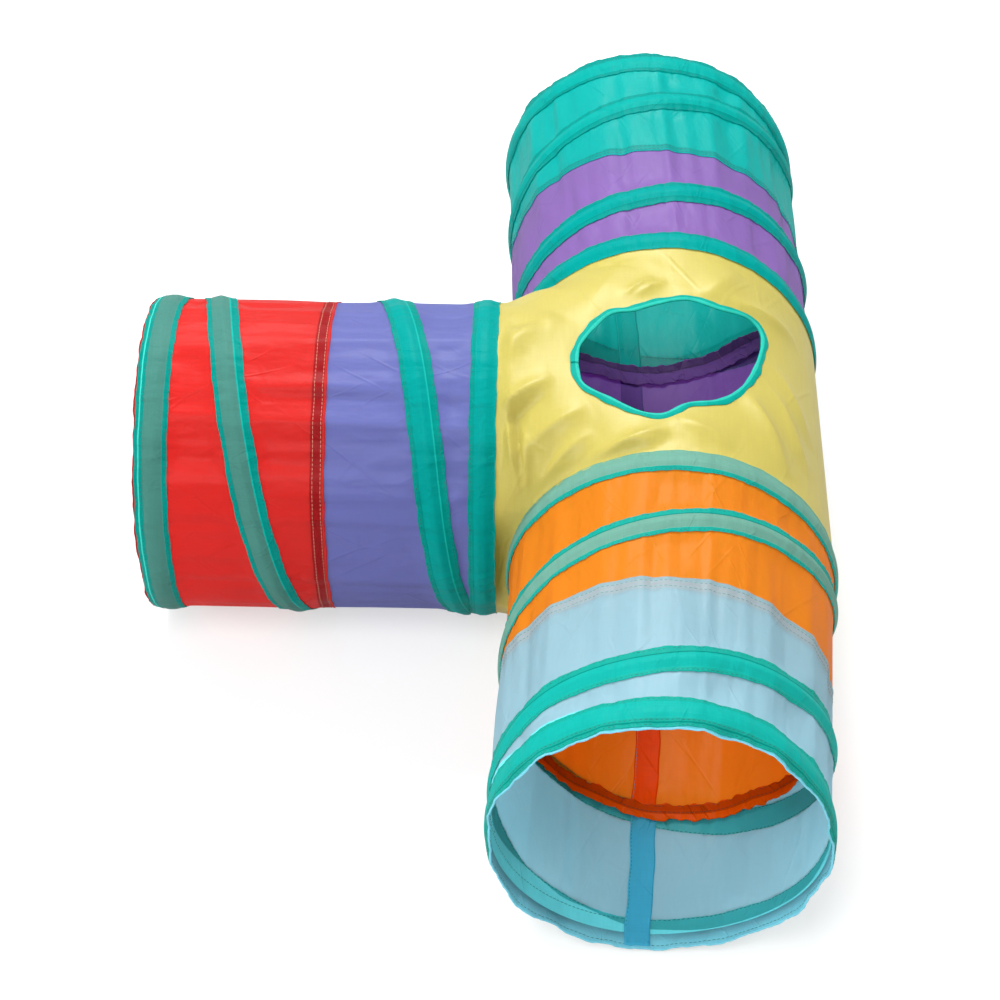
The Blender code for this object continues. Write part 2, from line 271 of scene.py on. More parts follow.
def noise(tree, vector, factors, detail=2.0):
    """A noise value at a place whose parts are multiplied by the factors."""
    place = calculate_vector(tree, "MULTIPLY", vector, factors)[0]
    return add_node(tree, "ShaderNodeTexNoise", Vector=place, Scale=1.0, Detail=detail,
                    Roughness=0.5).outputs[0]


def make_weave():
    """Threads of a plain weave: a height, and a tone that differs from thread to thread."""
    group, given = start_group("plain weave", ("Place",), ("Height", "Tone"))
    parts = add_node(group, "ShaderNodeSeparateXYZ", Vector=given["Place"])
    waves = [calculate(group, "SINE", calculate(group, "MULTIPLY", part, weave_frequency))
             for part in parts.outputs[:2]]
    warp = noise(group, given["Place"], (thread_change, thread_run, thread_run))
    weft = noise(group, given["Place"], (thread_run, thread_change, thread_change))
    tone = calculate(group, "MULTIPLY", calculate(group, "ADD", warp, weft), 0.5)
    add_node(group, "NodeGroupOutput", Height=calculate(group, "MULTIPLY", *waves), Tone=tone)
    return group


def make_creases():
    """Height in mm of the soft dents and the fine straight creases that folding leaves."""
    group, given = start_group("fold creases", ("Place", "Size", "Dents", "Creases"),
                               ("Height",))
    place = add_node(group, "ShaderNodeVectorMath", {"operation": "SCALE"},
                     Vector=given["Place"], Scale=given["Size"]).outputs[0]
    ridges = 0.0
    for turned, factors in crease_directions:
        slanted = add_node(group, "ShaderNodeVectorRotate", {"rotation_type": "Z_AXIS"},
                           Vector=place, Angle=turned).outputs[0]
        cells = add_node(group, "ShaderNodeTexVoronoi", {"feature": "DISTANCE_TO_EDGE"}, Scale=1.0,
                         Vector=calculate_vector(group, "MULTIPLY", slanted, factors)[0])
        near = rescaled(group, cells.outputs[0], 0.0, crease_half_width, 1.0, 0.0, "SMOOTHSTEP")
        patchy = noise(group, slanted, crease_patches)
        shown = rescaled(group, patchy, *patch_limits, shape="SMOOTHSTEP")
        ridges = calculate(group, "MULTIPLY_ADD", near, shown, ridges)
    wide = noise(group, place, wide_dents)
    fine = noise(group, place, fine_dents)
    dents = calculate(group, "MULTIPLY_ADD", fine, fine_dent_share, wide)
    dents = calculate(group, "MULTIPLY", dents, given["Dents"])
    ridges = calculate(group, "MULTIPLY", ridges, given["Creases"])
    add_node(group, "NodeGroupOutput", Height=calculate(group, "ADD", ridges, dents))
    return group


def make_hem_mask():
    """1 where the place across a tape or band is inside the two hems, and 0 between them."""
    group, given = start_group("hem mask", ("Across", "Low", "High", "Softness"), ("Mask",))
    masks = []
    for edge, sign in (("Low", -1.0), ("High", 1.0)):
        past = calculate(group, "SUBTRACT", given["Across"], given[edge])
        past = calculate(group, "MULTIPLY", past, sign)
        masks.append(calculate(group, "DIVIDE", past, given["Softness"], clamp=True))
    add_node(group, "NodeGroupOutput", Mask=calculate(group, "MAXIMUM", *masks))
    return group


weave_group = make_weave()
crease_group = make_creases()
hem_group = make_hem_mask()
print("node groups:", [group.name for group in bpy.data.node_groups])

# %% [markdown]
# ## Finishes
# Thin nylon reflects part of the light and lets part of it through, which is why the inside of
# the tunnel glows in the colour of the cloth around it. So each cloth mixes a Principled shader
# with a Translucent one. Where cloth lies double, as at a felled seam, its colour is deeper:
# partly the second layer's own colour and partly painted shade. A tape shows the cloth beneath
# it between its hems, so its middle has a colour of its own. Thin painted highlights and
# painted shadows run along the folds of the hems.

# %% Cloth, tape, thread and steel
weave_height = 0.006
tone_range = (0.25, 0.75)
thread_contrast = 0.075
glow_lift = 0.9
cloth_look = {"glow": 0.66, "roughness": 0.41, "shine": 0.19}
strip_look = {"glow": 0.45, "shine": 0.05}
tape_look = {"glow": 0.54, "roughness": 0.46, "shine": 0.05}
hem_glow = 0.35
tape_folds = {"Size": 50.0, "Dents": 5.0, "Creases": 0.2}
edge_softness = 0.3 * mm
under_margin = 0.8 * mm
painted_fold_half = 0.4 * mm
yarn_grain = (900.0, 900.0, 900.0)
yarn_shade = 0.6
yarn_bumps = (0.6, 0.1 * mm)
scratch_grain = (400.0, 400.0, 2500.0)
scratch_bumps = (0.3, 0.05 * mm)
steel_roughness = (0.2, 0.5)


def linear(red, green, blue):
    """A colour in screen values from 0 to 255, turned into light values."""
    shares = [value / 255 for value in (red, green, blue)]
    return (*[share / 12.92 if share <= 0.04045 else ((share + 0.055) / 1.055) ** 2.4
              for share in shares], 1.0)


def use_group(tree, group, **inputs):
    """The outputs of a node group that is placed in a tree."""
    return add_node(tree, "ShaderNodeGroup", {"node_tree": group}, **inputs).outputs


colour_inputs = (0, 6, 7)


def blend_colours(tree, share, first, second, mode="MIX"):
    """Two colours mixed by a share from 0 to 1."""
    node = add_node(tree, "ShaderNodeMix", {"data_type": "RGBA", "blend_type": mode})
    for number, value in zip(colour_inputs, (share, first, second)):
        set_input(tree, node, number, value)
    return node.outputs[2]


def place_map(tree, name):
    """A place map in metres, and its two parts."""
    place = add_node(tree, "ShaderNodeUVMap", {"uv_map": name}).outputs[0]
    parts = add_node(tree, "ShaderNodeSeparateXYZ", Vector=place)
    return place, parts.outputs[0], parts.outputs[1]


def finish_thin_cloth(tree, place, colour, folds, look, through=None):
    """Weave and creases, on shaders that reflect and glow.

    Light that comes through has the cloth's own colour unless another one is given.
    """
    threads = use_group(tree, weave_group, Place=place)
    tone = rescaled(tree, threads["Tone"], *tone_range, 1.0 - thread_contrast,
                    1.0 + thread_contrast)
    grey = add_node(tree, "ShaderNodeCombineXYZ", X=tone, Y=tone, Z=tone).outputs[0]
    colour = blend_colours(tree, 1.0, colour, grey, "MULTIPLY")
    creases = use_group(tree, crease_group, Place=place, **folds)
    height = calculate(tree, "MULTIPLY_ADD", threads["Height"], weave_height, creases["Height"])
    bump = add_node(tree, "ShaderNodeBump", Height=height, Strength=1.0, Distance=mm).outputs[0]
    solid = add_node(tree, "ShaderNodeBsdfPrincipled", Base_Color=colour, Normal=bump,
                     Roughness=look["roughness"], Specular_IOR_Level=look["shine"])
    lifted = add_node(tree, "ShaderNodeGamma", Color=through or colour, Gamma=glow_lift)
    glowing = add_node(tree, "ShaderNodeBsdfTranslucent", Color=lifted.outputs[0], Normal=bump)
    surface = mixed(tree, look["glow"], solid, glowing)
    add_node(tree, "ShaderNodeOutputMaterial", Surface=surface)


def cloth_finish(name, colour, band=None, under=None, rim=None, through=None, size=26.0,
                 dents=6.0, creases=0.24, cut_to_shape=False, **changes):
    """A panel's cloth.

    A band is (its colour, its start and its end past the seam), where the seam lies double; its
    deeper colour is partly the doubled cloth's own and partly painted shade. The colour under
    shows where a tape lies on the cloth: tinted partly by the tape seen through it and partly by
    its painted shadow. The rim is (its colour, its start past the seam), where the turned-in
    cloth lets less light through; its colour is partly painted light. The colour through is that
    of the light that comes through. Cloth cut to shape has no place map, so its place in space
    serves.
    """
    material, tree = start_material(name)
    look = {**cloth_look, **changes}
    if cut_to_shape:
        place = add_node(tree, "ShaderNodeTexCoord").outputs["Object"]
    else:
        place = add_node(tree, "ShaderNodeUVMap", {"uv_map": "cut"}).outputs[0]
    if band or under:
        _, past_seam, past_tape = place_map(tree, "beside")
    base = linear(*colour)
    glow_base = linear(*through) if through else None
    # The band's deeper colour: partly the doubled cloth's own, partly painted shade.
    if band:
        outside = use_group(tree, hem_group, Across=past_seam, Low=band[1], High=band[2],
                            Softness=edge_softness)
        base = blend_colours(tree, outside["Mask"], linear(*band[0]), base)
    # Where a tape lies on the cloth: partly the tape seen through it, partly the tape's painted
    # shadow.
    if under:
        covered = calculate(tree, "LESS_THAN", past_tape, -under_margin)
        base = blend_colours(tree, covered, base, linear(*under))
        glow_base = blend_colours(tree, covered, glow_base, linear(*under))
    # The rim's colour is partly painted light on the turned-in cloth, which also glows less.
    if rim:
        on_rim = calculate(tree, "GREATER_THAN", past_seam, rim[1])
        base = blend_colours(tree, on_rim, base, linear(*rim[0]))
        glow_base = blend_colours(tree, on_rim, glow_base, linear(*rim[0]))
        look["glow"] = calculate(tree, "MULTIPLY_ADD", on_rim, hem_glow - look["glow"],
                                 look["glow"])
    folds = {"Size": size, "Dents": dents, "Creases": creases}
    finish_thin_cloth(tree, place, base, folds, look, glow_base)
    return material


def tape_finish(name, hem_colour, middle_colours, hem_edges, painted_fold_line=None):
    """A tape: hems in the tape's own colour, and a middle that shows the cloth beneath.

    The painted fold line is (its place across the tape, its colour): a painted highlight where its
    colour is pale, a painted shadow where it is dark, along a hem's fold.
    """
    material, tree = start_material(name)
    place, _, across = place_map(tree, "cut")
    _, past_seam, _ = place_map(tree, "beside")
    on_outer = calculate(tree, "GREATER_THAN", past_seam, 0.0)
    base = blend_colours(tree, on_outer, *[linear(*each) for each in middle_colours])
    hems = use_group(tree, hem_group, Across=across, Low=hem_edges[0], High=hem_edges[1],
                     Softness=edge_softness)
    base = blend_colours(tree, hems["Mask"], base, linear(*hem_colour))
    # A thin line along a hem's fold: a painted highlight where its colour is pale, a painted
    # shadow where it is dark.
    if painted_fold_line:
        away = use_group(tree, hem_group, Across=across, Low=painted_fold_line[0] - painted_fold_half,
                         High=painted_fold_line[0] + painted_fold_half, Softness=edge_softness)
        base = blend_colours(tree, away["Mask"], linear(*painted_fold_line[1]), base)
    finish_thin_cloth(tree, place, base, tape_folds, tape_look)
    return material


def finish_solid(tree, height, bumps, **inputs):
    """A Principled shader with bumps of the given (strength, depth)."""
    bump = add_node(tree, "ShaderNodeBump", Height=height, Strength=bumps[0], Distance=bumps[1])
    solid = add_node(tree, "ShaderNodeBsdfPrincipled", Normal=bump.outputs[0], **inputs)
    add_node(tree, "ShaderNodeOutputMaterial", Surface=solid.outputs[0])


def thread_finish(name, colour):
    """Sewing thread: a dull twisted yarn, a little lighter and darker along its run."""
    material, tree = start_material(name)
    where = add_node(tree, "ShaderNodeTexCoord").outputs["Object"]
    tone = noise(tree, where, yarn_grain)
    darker = [value * yarn_shade for value in linear(*colour)[:3]]
    base = blend_colours(tree, tone, (*darker, 1.0), linear(*colour))
    finish_solid(tree, tone, yarn_bumps, Base_Color=base, Roughness=0.7)
    return material


def steel_finish(name, grey):
    """Bright drawn wire with fine scratches."""
    material, tree = start_material(name)
    where = add_node(tree, "ShaderNodeTexCoord").outputs["Object"]
    scratches = noise(tree, where, scratch_grain, detail=4.0)
    roughness = rescaled(tree, scratches, 0.0, 1.0, *steel_roughness)
    finish_solid(tree, scratches, scratch_bumps, Base_Color=(grey, grey, grey, 1.0),
                 Metallic=1.0, Roughness=roughness)
    return material


wire_finish = steel_finish("spring wire", 0.45)
sleeve_finish = steel_finish("crimp sleeve", 0.55)
print("steel:", wire_finish.name, "and", sleeve_finish.name)

# %% [markdown]
# ## The three arms as a surface
# Every piece of an arm lies on or near one surface, so that surface is written once: a point at
# an angle round the arm, a distance along it and a lift above it. The hoops in the photograph
# aren't perfect, and the cloth between them sags a little and has flat facets between long
# folds. These are part of the surface, so that tape, stitches and cloth all follow them
# together. A cloth simulation could find the folds too, but it wouldn't find these ones.

# %% Where the arms are
full_turn = 360.0
up = np.array((0.0, 0.0, 1.0))
cloth_radius = 123.8 * mm
hoop_radius = 125.0 * mm
floor_radius = 127.7 * mm
wire_radius = 0.9 * mm
loop_pitch = 3.0 * mm
spiral_start = 277.5
spiral_turns = 2
mouth_tape_half = 12.5 * mm
junction_tape_half = 10.0 * mm


def middle_of(node):
    """The middle of a CAD node's box."""
    low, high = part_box(node)
    return np.array((low + high) / 2)


arms = {
    "left": {
        "out": (-1, 0, 0), "side": (0, 1, 0), "shift": 1.7, "wide": 1.0, "tall": 1.0,
        "reach": 0.0, "seam": 118.5, "band_width": 11.0, "rim": 1.2, "rim_wave": 0.5, "seed": 3,
        "tape_half": 12.5, "flap": (0.5, 14.5), "sewn": (0.5, 8.0), "lap_angle": 270.0,
        "sway": ((0, 0), (80, 3), (172, -4.5), (240, -1), (340, 0), (430, 2), (520, 5),
                 (600, 2.5), (720, 0)),
        "seam_bend": ((0, 0), (180, 0), (360, 0)),
    },
    "front": {
        "out": (0, -1, 0), "side": (-1, 0, 0), "shift": 14.3, "wide": 0.965, "tall": 1.035,
        "reach": 2.5, "seam": 116.0, "band_width": 10.5, "rim": 1.5, "rim_wave": 1.4, "seed": 8,
        "tape_half": 11.5, "flap": (0.5, 14.5), "sewn": (0.5, 8.0), "lap_angle": 275.0,
        "sway": ((0, 0), (127, 6), (187, 3.5), (235, 2.5), (300, 5), (355, 12), (395, 16),
                 (437, 12), (500, 11), (547, 7), (607, -3), (657, -9), (690, -5), (720, 0)),
        "seam_bend": ((0, -7), (40, -2), (90, 0), (150, 1), (180, 4), (215, 11), (250, 12),
                      (270, 9), (300, -2), (322, -10), (360, -7)),
    },
    "back": {
        "out": (0, 1, 0), "side": (1, 0, 0), "shift": -8.5, "wide": 1.019, "tall": 0.981,
        "reach": 1.0, "seam": 120.5, "band_width": 9.0, "rim": 1.2, "rim_wave": 0.6, "seed": 21,
        "tape_half": 12.5, "flap": (-26.0, 0.0), "sewn": (-9.5, 0.0), "lap_angle": 261.5,
        "sway": ((0, 0), (127, 4), (187, 2), (217, 0), (250, -6), (330, -5), (420, -7),
                 (487, -8), (547, -3), (600, -3), (720, 0)),
        "seam_bend": ((0, 0), (90, 0), (180, 0), (240, -5), (270, -4), (290, 1), (312, 7),
                      (335, 4), (360, 0)),
    },
}
for name, arm in arms.items():
    arm["name"] = name
    for key in ("out", "side"):
        arm[key] = np.array(arm[key], float)
    for key in ("shift", "reach", "seam", "band_width", "tape_half", "rim", "rim_wave"):
        arm[key] *= mm
    for key in ("flap", "sewn"):
        arm[key] = np.array(arm[key]) * mm
    arm["centre"] = middle_of(name + "_junction_casing")
    mouth = middle_of(name + "_mouth_casing")
    arm["length"] = float(np.linalg.norm(mouth - arm["centre"]))
    print(name, "arm:", round(arm["length"] / mm, 1), "mm between its end loops")
crossing = np.array((arms["front"]["centre"][0], arms["left"]["centre"][1],
                     arms["left"]["centre"][2]))

# %% How the wire runs and how the cloth hangs on it
loop_rise = 0.125 * mm
spiral_step = 15.0
loop_steps = (-24, 0, 1, 2, 3, 45, 46, 47, 48, 72)
held_width = 4.0 * mm
free_width = 24.0 * mm
sag_depth = 1.9 * mm
facet_depth = 3.1 * mm
facet_counts = (32, 36, 84)
facet_shift = 0.32
facet_drift = 6
facet_change = (0.3, 0.7)
fine_share = 0.28
pressed_creases = {
    "left": ((126, 121, 2.6, 6), (142, 137, -1.8, 5), (106, 113, 1.9, 5), (162, 156, 2.0, 6),
             (87, 94, 1.8, 5), (183, 179, -1.6, 6), (150, 152, 1.5, 4), (117, 110, -1.5, 4)),
    "front": ((64, 67, 2.5, 6), (102, 102, 1.8, 3), (127, 123, 2.3, 6), (84, 82, -1.6, 4),
              (45, 48, 1.9, 5), (143, 146, 1.7, 5), (275, 268, 2.0, 7), (114, 111, -1.4, 4)),
    "back": ((121, 132, 2.8, 6), (87, 88, 1.8, 3), (57, 53, 2.3, 6), (104, 108, -1.6, 4),
             (142, 147, 1.9, 5), (38, 36, 1.7, 5), (72, 66, 1.5, 4)),
}
ripple_shares = (0.6, 0.3, 0.4)
rim_lift_waves = (13, 8)
rim_reach_waves = (11, 2)
gather_depth = 0.2 * mm
gather_reach = 6.0 * mm
gather_waves = (83, 131)
gather_wander = (1.7, 7)
second_gather = 0.6
edge_play = 1.0 * mm
rim_swing = 0.6
slack_start = 4.0 * mm
right_side_lean = 14.0 * mm
level_reach = (13.0, 24.0)


def smooth_step(value, low, high):
    """0 below low, 1 above high, and a smooth rise between."""
    share = np.clip((value - low) / (high - low), 0, 1)
    return share * share * (3 - 2 * share)


def eased(value, knots):
    """A smooth line through a few (place, height) pairs, level at each of them."""
    places, heights = np.array(knots, float).T
    number = np.clip(np.searchsorted(places, value, side="right") - 1, 0, len(places) - 2)
    share = smooth_step(value, places[number], places[number + 1])
    return heights[number] + share * (heights[number + 1] - heights[number])


def wire_along(arm, turned):
    """Distance along the arm of the wire after it has turned so many degrees past the loop."""
    length = arm["length"]
    end = spiral_turns * full_turn
    rise = (length - loop_pitch - 2 * loop_rise) / (end / spiral_step - 4)
    start = loop_pitch / 2 + loop_rise
    near = np.array((-loop_pitch / 2, loop_pitch / 2, start, start + rise / 3, start + rise))
    places = np.concatenate((near, length - near[::-1]))
    sway = eased(np.clip(turned, 0, end), arm["sway"]) * mm
    return np.interp(turned, np.array(loop_steps) * spiral_step, places) + sway


def gap_to_wire(arm, angle, along, halves=(0, 0, 0)):
    """Distance along the arm to the nearest turn of wire, or to the nearest tape's edge.

    The halves are what is taken off at the junction loop, the spiral and the mouth loop.
    """
    gaps = np.minimum(np.abs(along) - halves[0], np.abs(along - arm["length"]) - halves[2])
    turned = (spiral_start - angle) % full_turn
    for turn in range(spiral_turns):
        wire = wire_along(arm, turned + turn * full_turn)
        gaps = np.minimum(gaps, np.abs(along - wire) - halves[1])
    return gaps


def seam_along(arm, angle):
    """Where the seam between the two panels starts, which isn't straight all the way round."""
    return arm["seam"] + eased(angle % full_turn, arm["seam_bend"]) * mm


def make_folds(arm):
    """Flat facets round the arm: one set near the junction, one near the mouth, one fine."""
    random = np.random.RandomState(arm["seed"])
    arm["folds"] = []
    for count in facet_counts:
        shifts = random.uniform(-facet_shift, facet_shift, count)
        places = (np.arange(count) + shifts) * full_turn / count
        arm["folds"].append((places, random.uniform(-1, 1, count)))
    arm["fold_drift"] = random.uniform(-facet_drift, facet_drift)
    arm["gather"] = random.uniform(0, math.tau, 3)


def facets(arm, angle, along):
    """Heights of the flat facets, from about -1 to 1, between the long folds."""
    share = smooth_step(along / arm["length"], *facet_change)
    drifted = angle + arm["fold_drift"] * along / arm["length"]
    near, far, fine = [np.interp(drifted, places, heights, period=full_turn)
                       for places, heights in arm["folds"]]
    return near * (1 - share) + far * share + fine_share * fine


def turned_from(angle, middle):
    """How many degrees an angle lies from a middle one, the shorter way round."""
    return np.abs((angle - middle + full_turn / 2) % full_turn - full_turn / 2)


def pressed(arm, angle, along):
    """Height in metres of the long straight creases from the way the tunnel was packed."""
    share = along / arm["length"]
    total = 0.0
    for start, end, height, width in pressed_creases[arm["name"]]:
        gap = turned_from(angle, start + (end - start) * share) / width
        total = total + height * mm * np.clip(1 - gap, 0, 1)
    return total


def ripple(arm, angle, waves, number):
    """A few uneven waves round an arm, from about -1 to 1, at a phase that the number picks."""
    radians = np.radians(angle)
    phase = arm["gather"][number % 3] + number
    counts = (waves, waves * 2 + 5, waves // 2 + 1)
    return sum(share * np.sin(count * radians + times * phase)
               for times, (share, count) in enumerate(zip(ripple_shares, counts), start=1))


def free_edge(arm, along):
    """0 on the wire of the mouth loop and before it, 1 at the free edge past it."""
    return smooth_step(along - arm["length"], edge_play, mouth_tape_half + edge_play)


def slack(arm, angle, along):
    """How far the cloth lies outside its circle: none at the wire, sagging and folded between.

    It is level over the crimps, so that it covers them when the arm is pushed flat.
    """
    gap = gap_to_wire(arm, angle, along)
    radians = np.radians(angle)
    first, second, third = arm["gather"]
    wander = gather_wander[0] * np.sin(gather_wander[1] * radians + second)
    gathers = np.sin(gather_waves[0] * radians + first + wander)
    gathers = gathers + second_gather * np.sin(gather_waves[1] * radians + third)
    edge = np.exp(-((gap - mouth_tape_half) / gather_reach) ** 2)
    bends = facet_depth * facets(arm, angle, along) + pressed(arm, angle, along)
    bends = bends * smooth_step(turned_from(angle, spiral_start), *level_reach)
    total = smooth_step(gap, held_width, free_width) * (bends - sag_depth)
    total = total + gather_depth * gathers * edge
    rim = arm["rim_wave"] * free_edge(arm, along) * ripple(arm, angle, *rim_lift_waves)
    return (total + rim) * smooth_step(along, 0, slack_start)


def settle(points):
    """The right side of the through tube stands a little nearer the camera, as in the photo."""
    across = np.clip((points[..., 0] - crossing[0]) / hoop_radius, 0, None)
    moved = points.copy()
    moved[..., 1] -= right_side_lean * across ** 2
    return moved


def arm_point(arm, angle, along, lift):
    """A point on an arm: an angle in degrees from its side over its top, a distance along."""
    angle, along, lift = np.broadcast_arrays(angle, along, lift)
    share = along / arm["length"]
    radians = np.radians(angle)
    radius = cloth_radius + slack(arm, angle, along) + lift
    across = radius * np.cos(radians) * (1 + (arm["wide"] - 1) * share) + arm["shift"] * share
    height = radius * np.sin(radians) * (1 + (arm["tall"] - 1) * share)
    height = height + floor_radius * (arm["tall"] - 1) * share
    wave = arm["rim_wave"] * free_edge(arm, along) * ripple(arm, angle, *rim_reach_waves)
    distance = along + arm["reach"] * share + rim_swing * wave
    points = arm["centre"] + distance[..., None] * arm["out"]
    points = points + across[..., None] * arm["side"] + height[..., None] * up
    return settle(points)


def arm_outward(arm, angle):
    """The direction straight out from the arm's axis."""
    radians = np.radians(angle)[..., None]
    return np.cos(radians) * arm["side"] + np.sin(radians) * up


for arm in arms.values():
    make_folds(arm)
print("top of the front mouth:", arm_point(arms["front"], 90.0, arms["front"]["length"], 0.0))

# %% Helpers that turn rows of points into cloth
crease_angle = math.radians(35)
kept_decimals = 6


def add_piece(name, mesh, finish, thickness=0.0):
    """An object for a mesh, with its finish, smooth faces and the cloth's thickness."""
    mesh.shade_smooth()
    mesh.set_sharp_from_angle(angle=crease_angle)
    mesh.materials.append(finish)
    piece = bpy.data.objects.new(name, mesh)
    bpy.context.scene.collection.objects.link(piece)
    if thickness:
        solid = piece.modifiers.new("thickness", "SOLIDIFY")
        solid.thickness = thickness
        solid.offset = -1
    return piece


def add_sheet(name, points, maps, finish, thickness, wrap=False):
    """A sheet of cloth from rows of points, given a thickness on its inner side.

    Each map gives a place in metres for every point. The last row of a sheet that wraps is
    its first row again, so only its places in the maps are used.
    """
    points = points[:-1] if wrap else points
    rows, columns = points.shape[:2]
    row, column = np.meshgrid(np.arange(rows if wrap else rows - 1), np.arange(columns - 1),
                              indexing="ij")
    corner_rows = np.stack((row, row, row + 1, row + 1), -1).reshape(-1, 4)
    corner_columns = np.stack((column, column + 1, column + 1, column), -1).reshape(-1, 4)
    faces = (corner_rows % rows) * columns + corner_columns
    mesh = bpy.data.meshes.new(name)
    mesh.from_pydata(points.reshape(-1, 3).tolist(), [], faces.tolist())
    for map_name, places in maps.items():
        layer = mesh.uv_layers.new(name=map_name)
        corners = places[corner_rows.ravel(), corner_columns.ravel()]
        layer.uv.foreach_set("vector", corners.astype(np.float32).ravel())
    return add_piece(name, mesh, finish, thickness)


def spread(start, end, step, extra=()):
    """Places from start to end about a step apart, with a few extra ones between."""
    count = max(int(round((end - start) / step)), 1) + 1
    places = np.concatenate((np.linspace(start, end, count), np.array(extra, float)))
    return np.unique(np.round(places, kept_decimals))


def arm_sheet(arm, name, angle, along, lift, finish, thickness, across=None, wrap=False):
    """A sheet on an arm, with maps of its own cut of cloth and of the places beside it.

    The second map holds how far a point is past the seam and past the nearest tape's edge.
    """
    angle, along = np.broadcast_arrays(angle, along)
    across = along if across is None else np.broadcast_to(across, angle.shape)
    halves = (junction_tape_half, arm["tape_half"], mouth_tape_half)
    past_tape = gap_to_wire(arm, angle, along, halves)
    maps = {"cut": np.stack((np.radians(angle) * cloth_radius, across), -1),
            "beside": np.stack((along - seam_along(arm, angle), past_tape), -1)}
    return add_sheet(name, arm_point(arm, angle, along, lift), maps, finish, thickness, wrap)


def ring_sheet(arm, name, along_at, lift_at, finish, thickness, across=None):
    """A sheet all the way round an arm, with one row of points for every degree."""
    angles = np.arange(full_turn + 1)[:, None]
    along = along_at(angles)
    return arm_sheet(arm, name, angles, along, lift_at(angles, along), finish, thickness,
                     across, wrap=True)


def stand_in(piece, node):
    """Hide the CAD node that a piece takes the place of, and return the piece."""
    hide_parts(node)
    return piece


# %% [markdown]
# ## Panels
# Each arm is two panels of cloth, felled together half way: the outer panel's edge is folded
# over the inner panel's end and sewn down with two rows of stitches. A panel is a grid of
# points on the arm's surface, close enough together to hold the folds. One long tube with
# painted colours would look alike from far away, but it would have no seam to catch the light.

# %% Cloth of the arms
panel_thickness = 0.25 * mm
panel_columns = 3.0 * mm
lip_width = 2.4 * mm
lip_lift = 0.5 * mm
lip_slope = 0.3 * mm
band_lift = 0.25 * mm
band_slope = 1.5 * mm
seam_play = 1.2 * mm
seam_rise = (-1.0 * mm, -0.2 * mm)
seam_wave = 0.5 * mm
seam_waves = (17, 0)
near_lip = 0.4 * mm
panel_start = 0.4 * mm
panel_end_past_tape = 0.7 * mm

# Under colours are partly a painted shadow of the tapes, band colours partly painted shade of the
# doubled seam, rim colours partly painted light on the turned-in cloth.
panel_colours = {
    "left": {"inner": ((130, 137, 198), "periwinkle_cloth"), "inner_under": (70, 160, 184),
             "inner_through": (136, 144, 206), "inner_shine": 0.19,
             "outer": ((219, 56, 51), "red_cloth"), "outer_under": (170, 96, 84),
             "outer_through": (228, 56, 54), "outer_shine": 0.15,
             "band": (164, 28, 34), "rim": (190, 84, 74)},
    "front": {"inner": ((220, 156, 40), "orange_cloth"), "inner_under": (206, 146, 30),
              "inner_through": (243, 140, 0), "inner_shine": 0.13,
              "outer": ((170, 194, 202), "light_blue_cloth"), "outer_under": (84, 204, 210),
              "outer_through": (168, 216, 228), "outer_shine": 0.19,
              "band": (190, 194, 196), "rim": (110, 222, 230)},
    "back": {"inner": ((161, 128, 197), "purple_cloth"), "inner_under": (128, 96, 178),
             "inner_through": (160, 102, 192), "inner_shine": 0.19,
             "outer": ((10, 190, 184), "turquoise_cloth"), "outer_under": (0, 186, 178),
             "outer_through": (0, 188, 181), "outer_shine": 0.16,
             "band": (4, 168, 160), "rim": (0, 190, 182)},
}


def seam_lift(arm, angle, along):
    """Lift of what lies over the seam: a folded lip, then the sewn band, then nothing."""
    past = along + seam_play - seam_along(arm, angle)
    lip = lip_lift * (1 - smooth_step(past, lip_width - lip_slope, lip_width + lip_slope))
    band = band_lift * (1 - smooth_step(past, arm["band_width"], arm["band_width"] + band_slope))
    return (lip + band) * smooth_step(past, *seam_rise)


def panel_along(arm, angles, places, seam_end):
    """A panel's places at each angle. Its end at the seam, the first or the last, follows it."""
    moved = seam_along(arm, angles) - arm["seam"] + seam_wave * ripple(arm, angles, *seam_waves)
    share = (places - places[0]) / (places[-1] - places[0])
    return places + moved * (share if seam_end == "last" else 1 - share) ** 2


def make_panel(arm, which, places, seam_end, lift_at, **finish_values):
    """A panel of cloth, the inner or the outer one."""
    colours = panel_colours[arm["name"]]
    colour, slot_name = colours[which]
    finish = cloth_finish(slot_name.replace("_", " "), colour, under=colours[which + "_under"],
                          through=colours[which + "_through"], shine=colours[which + "_shine"],
                          **finish_values)
    panel = ring_sheet(arm, f"{arm['name']}_{which}_cloth",
                       lambda angles: panel_along(arm, angles, places, seam_end), lift_at,
                       finish, panel_thickness)
    arm[which] = stand_in(panel, f"{arm['name']}_{which}_panel")


for arm in arms.values():
    colours = panel_colours[arm["name"]]
    seam, band_end = arm["seam"], arm["seam"] + arm["band_width"]
    end = arm["length"] + mouth_tape_half + panel_end_past_tape
    make_panel(arm, "inner", spread(panel_start, seam + lip_width, panel_columns), "last",
               lambda angles, along: 0.0)
    near_seam = (seam + near_lip, seam + lip_width - near_lip, seam + lip_width + near_lip,
                 band_end + 2 * near_lip)
    make_panel(arm, "outer", spread(seam, end, panel_columns, near_seam), "first",
               lambda angles, along: seam_lift(arm, angles, along),
               band=(colours["band"], lip_width, arm["band_width"]),
               rim=(colours["rim"], arm["length"] - mouth_tape_half - seam))
    arm["squashed"] = [arm["inner"], arm["outer"]]
    print(arm["name"], "panels:", len(arm["inner"].data.vertices),
          len(arm["outer"].data.vertices), "points")

# %% [markdown]
# ## Tapes over the wire
# A casing is a tape with both edges turned under, sewn down on each side of the wire. Its
# section is drawn once: a low edge, a hem, a thinner middle and a ridge over the wire. The loops
# at the ends hold two turns of wire and a crimp, so their ridge is wide and high, and the
# tunnel stands on it.

